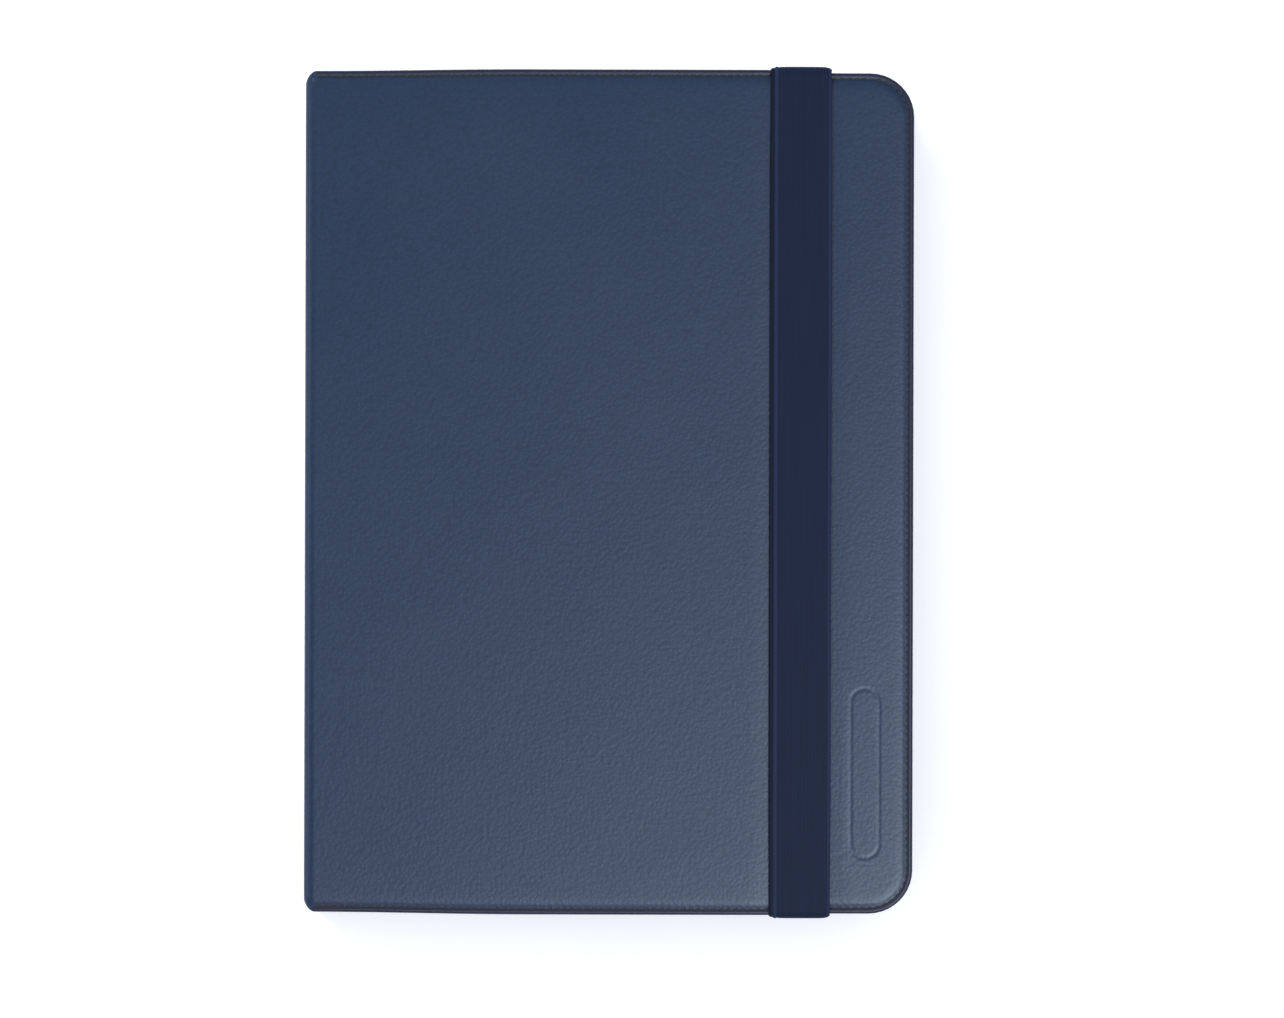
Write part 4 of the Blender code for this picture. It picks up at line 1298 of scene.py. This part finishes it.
@dataclass
class BackCover(Cover):
    """The back cover, with its window for the kickstand and its hole for the tablet's camera."""

    side: Side = Side.BACK
    window_gap: float = 0.8 * MM
    hinge_room: float = 1.8 * MM
    window_radius: float = 4.4 * MM
    binding: float = 0.25 * MM
    hole_gap: float = 0.3 * MM

    def window(self, grow: float, low_z: float, high_z: float) -> tuple[Vector, Vector]:
        """Opposite corners of the kickstand's window, grown all round.

        Args:
            grow: How far its sides move out.
            low_z: The lower corner's height.
            high_z: The upper corner's height.

        Returns:
            The two corners.
        """
        low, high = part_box("stand_skin")
        gap = self.window_gap + grow
        return (
            Vector((low.x - gap, low.y - gap, low_z)),
            Vector((high.x + self.hinge_room + grow, high.y + gap, high_z)),
        )

    def hole(self) -> Mesh:
        """A cutter for the camera ring's hole.

        Returns:
            The cutter's mesh.
        """
        low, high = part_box("camera_ring")
        mesh = Mesh()
        middle, (half, _) = middle_of(low, high)
        radius = half + self.hole_gap
        turned(mesh, Vector((middle.x, middle.y, 0.0)), ((radius, -2 * MM), (radius, 6 * MM)), 48)
        return mesh

    def tab_notch(self) -> Mesh:
        """A cutter for the pull tab's recess.

        Returns:
            The cutter's mesh.
        """
        low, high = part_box("stand_pull_tab")
        edge, deep = Vector((0.4 * MM, 0.6 * MM, 0.0)), 1.05 * MM
        below = Vector((low.x, low.y, -2 * MM)) - edge
        return block(below, Vector((high.x, high.y, deep)) + edge, 1.5 * MM)

    def build_binding(self) -> bpy.types.Object:
        """Makes the turned strip of leatherette that covers the window's cut edge.

        Returns:
            The piece.
        """
        mesh = Mesh()
        loops = []
        for share, z in ((0.0, 0.05), (0.6, 0.02), (1.0, 0.2), (1.0, 2.5), (0.0, 2.6)):
            grow = -self.binding * share
            middle, half = middle_of(*self.window(grow, z * MM, z * MM))
            ring = mesh.line(rounded(middle, half, self.window_radius + grow, 6))
            loops.append(ring + ring[:1])
        mesh.strip(loops + loops[:1])
        return make_object("stand_window_binding", mesh.closed(), (COVER,))

    def dress(self) -> None:
        """Makes the cover's pieces and rides them on it."""
        skin, lining = self.build_skin(), self.build_lining()
        low, high = self.window(0.0, -2 * MM, 2.65 * MM)
        cut(skin, (block(low, high, self.window_radius, 6), self.tab_notch(), self.hole()))
        slot_low, slot_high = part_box("stand_magnet_strip")
        room = Vector((0.3 * MM, 0.3 * MM, 2 * MM))
        cut(lining, (block(slot_low - room, slot_high + room), self.hole()))
        settle(skin, "back_cover", Slot.LEATHERETTE, "back_cover_skin")
        settle(lining, "back_cover", Slot.MICROFIBRE, "back_cover_lining")
        settle(self.build_binding(), "back_cover", Slot.LEATHERETTE)


# (inset, depth) in millimetres round the kickstand's sewn edge
STAND_EDGE = (
    (4.0, 0.0), (3.4, 0.03), (2.9, 0.12), (2.5, 0.3), (2.2, 0.4), (1.9, 0.39), (1.6, 0.28), (1.35, 0.16),
    (1.0, 0.1), (0.65, 0.16), (0.35, 0.32), (0.12, 0.6), (0.0, 1.0), (0.0, 1.7), (0.12, 2.02), (0.4, 2.18),
    (0.7, 2.18), (0.8, 2.0), (0.8, 1.2), (1.0, 0.9), (4.0, 0.85),
)  # fmt: skip
STAND_LINING_EDGE = ((3.0, 0.0), (1.2, 0.0), (0.9, 0.05), (0.75, 0.12), (0.9, 0.2), (3.0, 0.2))


@dataclass
class Kickstand:
    """The flap in the back cover: leatherette, lining, crease and pull tab."""

    corner: float = 4.0 * MM
    crease: float = 2.4 * MM
    skin: float = 0.45 * MM
    lining_z: float = 2.5 * MM
    mitre: float = 1.3 * MM
    taper: float = 2.0 * MM

    def __post_init__(self) -> None:
        """Reads the flap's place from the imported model."""
        self.low, self.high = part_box("stand_skin")
        self.cut_x = self.high.x - 0.6 * MM

    def build_skin(self) -> bpy.types.Object:
        """Makes the flap's leatherette and its seam.

        Returns:
            The piece.
        """
        panel = Panel(self.cut_x, self.low.x, self.high.y, self.corner)

        def place(x: float, y: float, depth: float) -> Vector:
            """The point at a depth over the flap's outer face, which is cut back at the fold.

            Args:
                x: Its place from the spine to the fore-edge.
                y: Its place along the spine.
                depth: Its depth under the face.

            Returns:
                The point.
            """
            near = smooth(x, self.cut_x - 6.0 * MM, self.cut_x)
            back = self.mitre * near * (1.0 - smooth(depth, 0.0, 0.8 * MM))
            return Vector((x - back, y * (1.0 - self.taper * near / self.high.y), self.low.z + depth))

        mesh = Mesh()
        panel.solid(mesh, chain_of(STAND_EDGE, self.corner), place)
        mesh.closed()
        line = [place(x, y, 0.3 * MM) for x, y in panel.border(2.1 * MM)]
        Seam(height=0.28 * MM).sew(mesh, line, Vector((0.0, 0.0, -1.0)), 1)
        return make_object("kickstand_leatherette", mesh, (COVER, STITCHING))

    def build_lining(self) -> bpy.types.Object:
        """Makes the thin lining on the flap's inner side.

        Returns:
            The piece.
        """
        corner, top = 3.0 * MM, self.lining_z + 0.2 * MM
        panel = Panel(self.cut_x - MM, self.low.x, self.high.y, corner, 8 * MM, 6)

        def place(x: float, y: float, depth: float) -> Vector:
            """The point at a depth under the lining's inner face."""
            return Vector((x, y, top - depth))

        mesh = Mesh()
        panel.solid(mesh, chain_of(STAND_LINING_EDGE, corner), place)
        return make_object("kickstand_microfibre", mesh.closed(), (LINING,))

    def build_crease(self) -> bpy.types.Object:
        """Makes the grooved strip along which the flap folds.

        Returns:
            The piece.
        """
        end_x = self.high.x + 1.75 * MM
        end = self.high.y - 2.3 * MM
        start_x = self.cut_x - self.mitre - 0.2 * MM
        rings = []
        for i in range(25):
            x = start_x + (end_x - start_x) * i / 24
            share = max(0.0, (x - self.cut_x) / (end_x - self.cut_x))
            flat = self.low.z + 0.08 * MM * (1.0 - share)
            z = flat * (1.0 - smooth(share, 0.35, 1.0)) + 0.4 * MM * math.sin(math.pi * share) ** 2
            rows = between(-end, end, 12 * MM)
            ring = [Vector((x, y, z)) for y in rows] + [Vector((x, y, z + self.skin)) for y in reversed(rows)]
            rings.append(ring)
        mesh = Mesh()
        mesh.tube(rings)
        return make_object("kickstand_crease", mesh.closed(), (COVER,))

    def build_tab(self) -> bpy.types.Object:
        """Makes the woven pull tab, sewn to the flap with a box of stitches.

        Returns:
            The piece.
        """
        low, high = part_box("stand_pull_tab")
        middle, half = middle_of(low, high)
        mesh = Mesh()
        section = ((0.6, 0.12), (0.25, 0.02), (0.0, 0.18), (0.0, 0.42), (0.25, 0.58), (0.6, 0.5))
        mesh.stack(Vector((middle.x, middle.y, low.z)), half, section, 1.6 * MM, 5, 0.5)
        first, last, side, sunk = self.low.x + 0.8 * MM, high.x - 0.9 * MM, 3.6 * MM, low.z + 0.04 * MM
        box = ((first, -side), (first, side), (last, side), (last, -side))
        for (x0, y0), (x1, y1) in zip(box, box[1:] + box[:1]):
            points = [Vector((x0, y0, sunk)), Vector((x1, y1, sunk))]
            Seam(1.2 * MM, 0.95 * MM, 0.3 * MM, 0.2 * MM, 0.0).sew(mesh, points, Vector((0.0, 0.0, -1.0)), 1)
        return make_object("kickstand_pull_tab", mesh.closed(), (RIBBON, STITCHING))

    def dress(self) -> None:
        """Makes the flap's pieces; the crease is baked in place between the flap and the cover."""
        settle(self.build_skin(), "kickstand", Slot.LEATHERETTE, "stand_skin")
        settle(self.build_lining(), "kickstand", Slot.MICROFIBRE)
        settle(self.build_tab(), "kickstand", Slot.ELASTIC, "stand_pull_tab")
        start = Vector((self.high.x - 0.35 * MM, 0.0, self.low.z))
        end = Vector((self.high.x + 1.2 * MM, 0.0, self.low.z))
        span(self.build_crease(), ("back_cover", "kickstand"), end, start, Slot.LEATHERETTE)


# (across, height) in millimetres over the woven band's inner face, from its spine side
BAND_SECTION = (
    (0.0, 0.2), (0.08, 0.42), (0.3, 0.56), (0.65, 0.6), (0.95, 0.5), (1.12, 0.4), (1.32, 0.5),
    (1.6, 0.68), (1.95, 0.7), (2.3, 0.62), (2.55, 0.48), (2.85, 0.56), (3.6, 0.62), (6.5, 0.64),
    (9.15, 0.64), (12.0, 0.64), (15.0, 0.62), (16.4, 0.6), (17.1, 0.54), (17.4, 0.58), (17.8, 0.55),
    (18.1, 0.42), (18.25, 0.25), (18.3, 0.1), (18.2, 0.0), (12.0, 0.0), (6.0, 0.0), (0.1, 0.0),
)  # fmt: skip


@dataclass
class Band:
    """The woven elastic that holds the case shut."""

    bend: float = 2.2 * MM
    waist: float = 0.18 * MM
    shoulder: float = 2.6 * MM
    curl: float = 0.4 * MM
    keep: float = 0.035

    def build(self) -> tuple[bpy.types.Object, float]:
        """Makes the band.

        Returns:
            The piece, and its length along its middle.
        """
        low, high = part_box("elastic_band")
        thick = max(height for _, height in BAND_SECTION) * MM
        side_y, top_z = high.y - thick, high.z - thick
        route = [(side_y, z, 1.0, 0.0) for z in between(low.z, top_z - self.bend, 3 * MM)]
        for i in range(1, 9):
            turn = math.radians(90.0 * i / 9)
            c, s = math.cos(turn), math.sin(turn)
            route.append((side_y - self.bend + self.bend * c, top_z - self.bend + self.bend * s, c, s))
        route += [(y, top_z, 0.0, 1.0) for y in between(side_y - self.bend, 0.0, 5 * MM)]
        route += [(-y, z, -ny, nz) for y, z, ny, nz in route[-2::-1]]
        rings = []
        for y, z, ny, nz in route:
            narrow = 1.0 - self.waist / (high.x - low.x) * 2 * smooth(abs(y), 90 * MM, 126 * MM) * nz
            centre = (low.x + high.x) / 2
            ring = []
            for across, height in BAND_SECTION:
                x = centre + (low.x + across * MM - centre) * narrow
                side = 1.0 - min(1.0, max(0.0, min(x - low.x, high.x - x)) / self.shoulder)
                curl = abs(ny) * (1.0 - math.sqrt(1.0 - side * side))
                height = height * MM * (1.0 - curl) - curl * self.curl
                ring.append(Vector((x, y + ny * height, z + nz * height)))
            rings.append(ring)
        mesh = Mesh()
        mesh.tube(rings)
        length = sum(math.hypot(b[0] - a[0], b[1] - a[1]) for a, b in zip(route, route[1:]))
        return make_object("woven_band", mesh.closed(), (WEBBING,), 60.0), length

    def dress(self) -> None:
        """Makes the band and rides it on its body."""
        band, length = self.build()
        settle(band, "band", Slot.ELASTIC, "elastic_band")
        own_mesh(band)


@dataclass
class SpineLining:
    """The spine's board and the microfibre that faces it."""

    turn_in: float = 1.8 * MM

    def build(self) -> bpy.types.Object:
        """Makes the strip, with its edges pressed down.

        Returns:
            The piece.
        """
        low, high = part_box("spine_lining")
        middle = (low + high) / 2
        half = ((high.z - low.z) / 2, (high.y - low.y) / 2)
        thick = high.x - low.x
        mesh = Mesh()
        rings = []
        for inset, height in ((0.6, 0.0), (0.0, 0.0), (0.0, 0.45), (0.25, 0.85), (0.8, 1.0)):
            flat = rounded(Vector((0.0, 0.0, 0.0)), (half[0] - inset * MM, half[1] - inset * MM), 0.9 * MM, 4)
            rings.append([Vector((low.x + thick * height, middle.y + p.y, middle.z + p.x)) for p in flat])
        mesh.tube(rings)
        return make_object("spine_microfibre", mesh.closed(), (LINING,))

    def build_board(self) -> bpy.types.Object:
        """Makes the board, short enough for the leatherette to be turned in round its ends.

        Returns:
            The piece.
        """
        low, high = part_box("spine_board")
        middle, half = middle_of(low, high)
        half = (half[0], half[1] - self.turn_in)
        rise, edge = (high.z - low.z) / 2 / MM, 0.15
        mesh = Mesh()
        section = ((edge, -rise), (0.0, edge - rise), (0.0, rise - edge), (edge, rise))
        mesh.stack(middle, half, section, 0.25 * MM)
        return make_object("spine_greyboard", mesh.closed(), (BOARD,))

    def dress(self) -> None:
        """Makes the strip and rides it on the spine."""
        settle(self.build(), "spine", Slot.MICROFIBRE, "spine_lining")
        settle(self.build_board(), "spine", Slot.BOARD, "spine_board")


# ---------------------------------------------------------------------------
# Keyboard
# ---------------------------------------------------------------------------


@dataclass(frozen=True)
class KeyRow:
    """One group of keys: its body, the widths of its keys in units, and what they say."""

    body: str
    widths: tuple[float, ...]
    legends: tuple[str, ...]


def plain_row(body: str, legends: Sequence[str]) -> KeyRow:
    """A group whose keys are one unit wide."""
    return KeyRow(body, (1.0,) * len(legends), tuple(legends))


KEY_ROWS = (
    plain_row("function_keys", ("esc", *(f"F{i}" for i in range(1, 13)), "ins", "del")),
    plain_row("number_keys", tuple("`1234567890-=")),
    KeyRow("backspace_key", (2.0,), ("back",)),
    KeyRow("upper_letter_keys", (1.5, *(1.0,) * 12, 1.5), ("tab", *"QWERTYUIOP[]", "\\")),
    KeyRow("home_letter_keys", (1.75, *(1.0,) * 11), ("caps", *"ASDFGHJKL;'")),
    KeyRow("enter_key", (2.25,), ("enter",)),
    KeyRow("left_shift_key", (2.25,), ("shift",)),
    plain_row("lower_letter_keys", tuple("ZXCVBNM,./")),
    KeyRow("right_shift_key", (1.75,), ("shift",)),
    plain_row("up_arrow_key", ("^",)),
    KeyRow("control_keys", (1.25, 1.0, 1.0, 1.25), ("ctrl", "fn", "opt", "alt")),
    KeyRow("space_bar", (5.5,), ("",)),
    plain_row("arrow_keys", ("alt", "ctrl", "<", "v", ">")),
)


@dataclass
class Keys:
    """The keycaps, dished and printed, which look down at the tablet while the case is shut."""

    unit: float = 15.2 * MM
    gap: float = 1.9 * MM
    radius: float = 1.3 * MM
    web: float = 0.5 * MM
    web_inset: float = 0.3 * MM
    ink: float = 0.03 * MM
    letter: float = 3.6 * MM
    word: float = 2.3 * MM
    # (inset, height over the key's top) in millimetres
    profile: tuple[Pair, ...] = (
        (0.0, 1.95), (0.0, 1.5), (0.16, 0.55), (0.3, 0.16), (0.55, 0.0), (1.0, -0.02), (2.6, 0.09),
    )  # fmt: skip

    def cap(self, mesh: Mesh, middle: Vector, half: Pair) -> None:
        """Adds one keycap.

        Args:
            mesh: The group's mesh.
            middle: The middle of its top.
            half: Half its sides.
        """
        mesh.stack(middle, half, self.profile, self.radius, ease=0.35)

    def print_on(self, mesh: Mesh, text: str, at: Vector, room: float) -> None:
        """Adds a key's legend, raised by the ink's thickness.

        Args:
            mesh: The group's mesh.
            text: What it says.
            at: Where its middle goes.
            room: The widest that it may be.
        """
        curve = bpy.data.curves.new("legend", "FONT")
        curve.body, curve.align_x, curve.align_y = text, "CENTER", "CENTER"
        curve.size = self.letter if len(text) == 1 else self.word
        curve.extrude, curve.resolution_u = self.ink, 2
        writer = bpy.data.objects.new("legend", curve)
        bpy.context.scene.collection.objects.link(writer)
        graph = bpy.context.evaluated_depsgraph_get()
        graph.update()
        glyphs = writer.evaluated_get(graph).to_mesh()
        places = [vertex.co for vertex in glyphs.vertices]
        width = max((place.x for place in places), default=0) - min((place.x for place in places), default=0)
        share = min(1.0, room / width) if width else 1.0
        made = mesh.line(at + Vector((-place.y * share, -place.x * share, place.z)) for place in places)
        for polygon in glyphs.polygons:
            try:
                mesh.bm.faces.new([made[i] for i in polygon.vertices]).material_index = 1
            except ValueError:
                LOG.debug("a legend's face is there already")
        writer.evaluated_get(graph).to_mesh_clear()
        bpy.data.objects.remove(writer)
        bpy.data.curves.remove(curve)

    def build(self, row: KeyRow) -> bpy.types.Object:
        """Makes one group of keys.

        Args:
            row: The group.

        Returns:
            The piece.
        """
        low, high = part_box(row.body)
        mesh = Mesh()
        start = high.y
        half_x = (high.x - low.x) / 2
        for width, legend in zip(row.widths, row.legends):
            length = width * self.unit - self.gap
            middle = Vector((low.x + half_x, start - length / 2, low.z))
            self.cap(mesh, middle, (half_x, length / 2))
            if legend:
                self.print_on(mesh, legend, middle + mm(0, 0, 0.075), length - 3.4 * MM)
            start -= width * self.unit
        middle, half = middle_of(low, high)
        web = ((self.web_inset / MM, -self.web / MM), (self.web_inset / MM, 0.0))
        mesh.stack(Vector((middle.x, middle.y, high.z)), half, web, 0.6 * MM, 2)
        bmesh.ops.recalc_face_normals(mesh.bm, faces=mesh.bm.faces)
        return make_object(f"{row.body}_caps", mesh, (KEYS, INK), 38.0)

    def dress(self) -> None:
        """Makes every group and rides it on its body."""
        for row in KEY_ROWS:
            settle(self.build(row), row.body, Slot.KEY, row.body)


@dataclass
class Controls:
    """The power switch, the pairing button and the three indicator lamps."""

    def build_switch(self) -> bpy.types.Object:
        """Makes the switch's knob, with its three grip ribs.

        Returns:
            The piece.
        """
        low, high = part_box("power_switch")
        middle, half = middle_of(low, high)
        at = Vector((middle.x, middle.y, low.z))
        mesh = Mesh()
        knob = ((0.0, (high.z - low.z) / MM), (0.0, 0.45), (0.12, 0.2), (0.35, 0.12))
        mesh.stack(at, half, knob, 0.7 * MM, 4)
        rib = ((0.0, 0.2), (0.0, 0.08), (0.12, 0.0))
        for y in (-1.1, 0.0, 1.1):
            mesh.stack(at + mm(0, y, 0), (0.95 * MM, 0.26 * MM), rib, 0.12 * MM, 2)
        return make_object("power_switch_knob", mesh.closed(), (KEYS,), 40.0)

    def build_button(self) -> bpy.types.Object:
        """Makes the dished pairing button.

        Returns:
            The piece.
        """
        low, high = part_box("connect_button")
        middle, (radius, _) = middle_of(low, high)
        profile = ((1.0, 2.0), (1.0, 0.35), (0.95, 0.12), (0.84, 0.0), (0.7, 0.04), (0.4, 0.16), (0.1, 0.2))
        mesh = Mesh()
        turned(mesh, Vector((middle.x, middle.y, low.z)), [(r * radius, z * MM) for r, z in profile], 28)
        return make_object("pairing_button", mesh.closed(), (KEYS,), 45.0)

    def build_lamp(self, node: str) -> bpy.types.Object:
        """Makes one lamp's domed lens.

        Args:
            node: The node that it stands for.

        Returns:
            The piece.
        """
        low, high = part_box(node)
        middle, (radius, _) = middle_of(low, high)
        dome = ((1.0, 0.16), (0.93, 0.04), (0.72, -0.06), (0.35, -0.11), (0.06, -0.12))
        profile = [(radius, high.z - low.z)] + [(r * radius, z * MM) for r, z in dome]
        mesh = Mesh()
        turned(mesh, Vector((middle.x, middle.y, low.z)), profile, 20)
        return make_object(node.replace("window", "lens"), mesh.closed(), (LENS,), 45.0)

    def dress(self) -> None:
        """Makes them and rides them on their bodies."""
        settle(self.build_switch(), "power_switch", Slot.KEY, "power_switch")
        settle(self.build_button(), "connect_button", Slot.KEY, "connect_button")
        for node in ("led_window_power", "led_window_caps", "led_window_charge"):
            settle(self.build_lamp(node), "front_cover", Slot.LAMP, node)


@dataclass(frozen=True)
class Carried:
    """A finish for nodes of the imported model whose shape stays, and how far their edges are eased."""

    finish: Finish
    nodes: tuple[str, ...]
    ease: float = 0.0

    def dress(self) -> None:
        """Gives the nodes their material and eased edges."""
        for name in self.nodes:
            node = frame["nodes"][name]
            node.data.materials.clear()
            node.data.materials.append(self.finish.material())
            if self.ease:
                bevel = node.modifiers.new("eased_edges", "BEVEL")
                bevel.width, bevel.segments, bevel.limit_method = self.ease, 3, "ANGLE"
                bevel.angle_limit = math.radians(35.0)
                bevel.harden_normals = True
                bevel.use_clamp_overlap = True
            LOG.info("%s keeps its shape, in %s", name, self.finish.name)


CARRIED = (
    Carried(CRADLE, ("tablet_cradle",), 0.3 * MM),
    Carried(CRADLE, ("camera_ring",), 0.25 * MM),
    Carried(DECK, ("keyboard_top_case",), 0.14 * MM),
    Carried(CASE, ("keyboard_bottom_case",), 0.2 * MM),
    Carried(CASE, ("power_switch_base", "connect_switch_base")),
    Carried(BOARD, ("back_cover_board", "front_cover_board", "stand_board")),
    Carried(WEBBING, ("band_tail_top", "band_tail_bottom")),
    Carried(STEEL, ("stand_steel_strip", "keyboard_support_plate", "charge_socket"), 0.06 * MM),
    Carried(STEEL, tuple(f"keyboard_screw_{i}" for i in range(1, 6)), 0.08 * MM),
    Carried(MAGNET, ("stand_magnet_strip", "sleep_magnet"), 0.08 * MM),
    Carried(TAPE, ("keyboard_tape",)),
    Carried(RUBBER, ("dome_sheet",)),
    Carried(FOIL, ("contact_sheet",)),
    Carried(MASK, ("main_board",)),
    Carried(POUCH, ("battery_cell",), 0.4 * MM),
)


# ---------------------------------------------------------------------------
# Studio
# ---------------------------------------------------------------------------


DAYLIGHT = (1.0, 0.99, 0.97, 1.0)
COOL = (0.8, 0.9, 1.0, 1.0)
WARM = (1.0, 1.0, 0.95, 1.0)


@dataclass(frozen=True)
class SoftLamp:
    """A square soft lamp: where it hangs and looks, its side, its power in watts and its colour."""

    name: str
    place: tuple[float, float, float]
    target: tuple[float, float, float]
    side: float
    power: float
    colour: Colour
    lights_all: bool = True  # False gives only a sheen, with no light or shadow on the floor


@dataclass
class Studio:
    """A pale floor, soft lamps and a camera that looks straight down from far off."""

    width: float = 0.3794
    distance: float = 2.6
    sensor: float = 36.0
    shift: Pair = (0.0257, -0.0132)
    roll: float = 0.15
    floor_side: float = 4.0
    floor_glow: float = 0.4
    sky: Colour = (0.86, 0.91, 1.0, 1.0)
    lamps: tuple[SoftLamp, ...] = (
        SoftLamp("key_lamp", (-1.0, 1.2, 1.3), (0.0, 0.0, 0.0), 0.8, 16.0, DAYLIGHT),
        SoftLamp("glow_lamp", (0.29, -0.35, 0.78), (0.06, -0.08, 0.0), 0.42, 18.0, COOL, False),
        SoftLamp("edge_lamp", (-1.1, 0.0, 0.34), (-0.09, 0.0, 0.02), 0.3, 2.2, WARM, False),
    )

    def build_floor(self) -> None:
        """Lays the floor."""
        mesh = Mesh()
        half = self.floor_side / 2
        steps = between(-half, half, 0.5)
        mesh.strip([mesh.line(Vector((x, y, 0.0)) for y in steps) for x in steps])
        floor = make_object("studio_floor", mesh, ())
        shader = Shader("studio_paper")
        shade = shader.noise(0.4, 2.0)
        shader.feed("Base Color", shader.blend(shade * 0.1, tone(243, 244, 247), tone(240, 241, 245)))
        shader.feed("Roughness", 0.9)
        shader.feed("Specular IOR Level", 0.1)
        shader.feed("Emission Color", WHITE)
        shader.feed("Emission Strength", self.floor_glow)
        floor.data.materials.append(shader.material)

    def hang(self, lamp: SoftLamp) -> None:
        """Hangs one square soft lamp.

        Args:
            lamp: The lamp.
        """
        light = bpy.data.lights.new(lamp.name, "AREA")
        light.shape, light.size, light.energy, light.color = "SQUARE", lamp.side, lamp.power, lamp.colour[:3]
        made = bpy.data.objects.new(lamp.name, light)
        made.location = lamp.place
        aim = Vector(lamp.target) - Vector(lamp.place)
        made.rotation_euler = aim.to_track_quat("-Z", "Y").to_euler()
        made.visible_diffuse = lamp.lights_all
        bpy.context.scene.collection.objects.link(made)

    def build_lamps(self) -> None:
        """Hangs the lamps and sets the sky."""
        sky = bpy.data.worlds.new("studio_sky")
        sky.use_nodes = True
        ground = next(n for n in sky.node_tree.nodes if n.type == "BACKGROUND")
        ground.inputs["Color"].default_value = self.sky
        ground.inputs["Strength"].default_value = 1.0
        bpy.context.scene.world = sky
        for lamp in self.lamps:
            self.hang(lamp)

    def build_camera(self) -> None:
        """Places the camera over the case."""
        data = bpy.data.cameras.new("camera")
        data.sensor_width = self.sensor
        data.lens = self.sensor * self.distance / self.width
        data.shift_x, data.shift_y = self.shift
        data.clip_end = 20.0
        camera = bpy.data.objects.new("camera", data)
        low, high = Vector(CAD_BOX[0]), Vector(CAD_BOX[1])
        middle = (low + high) / 2
        camera.location = (middle.x, middle.y, high.z + self.distance)
        camera.rotation_euler = (0.0, 0.0, math.radians(self.roll))
        bpy.context.scene.collection.objects.link(camera)
        bpy.context.scene.camera = camera

    def build(self) -> None:
        """Sets the studio up."""
        self.build_floor()
        self.build_lamps()
        self.build_camera()
        bpy.context.scene.view_settings.view_transform = "Standard"


def main() -> None:
    """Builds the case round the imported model."""
    logging.basicConfig(level=logging.INFO, format="%(name)s: %(message)s")
    Studio().build()
    front = Cover(Side.FRONT)
    settle(front.build_skin(), "front_cover", Slot.LEATHERETTE, "front_cover_skin")
    settle(front.build_lining(), "front_cover", Slot.MICROFIBRE, "front_cover_lining")
    back = BackCover()
    back.dress()
    for cover in (front, back):
        SpineWrap(cover.side, cover=cover).dress()
    SpineLining().dress()
    Kickstand().dress()
    Band().dress()
    Keys().dress()
    Controls().dress()
    for carried in CARRIED:
        carried.dress()


if __name__ == "__main__":
    main()
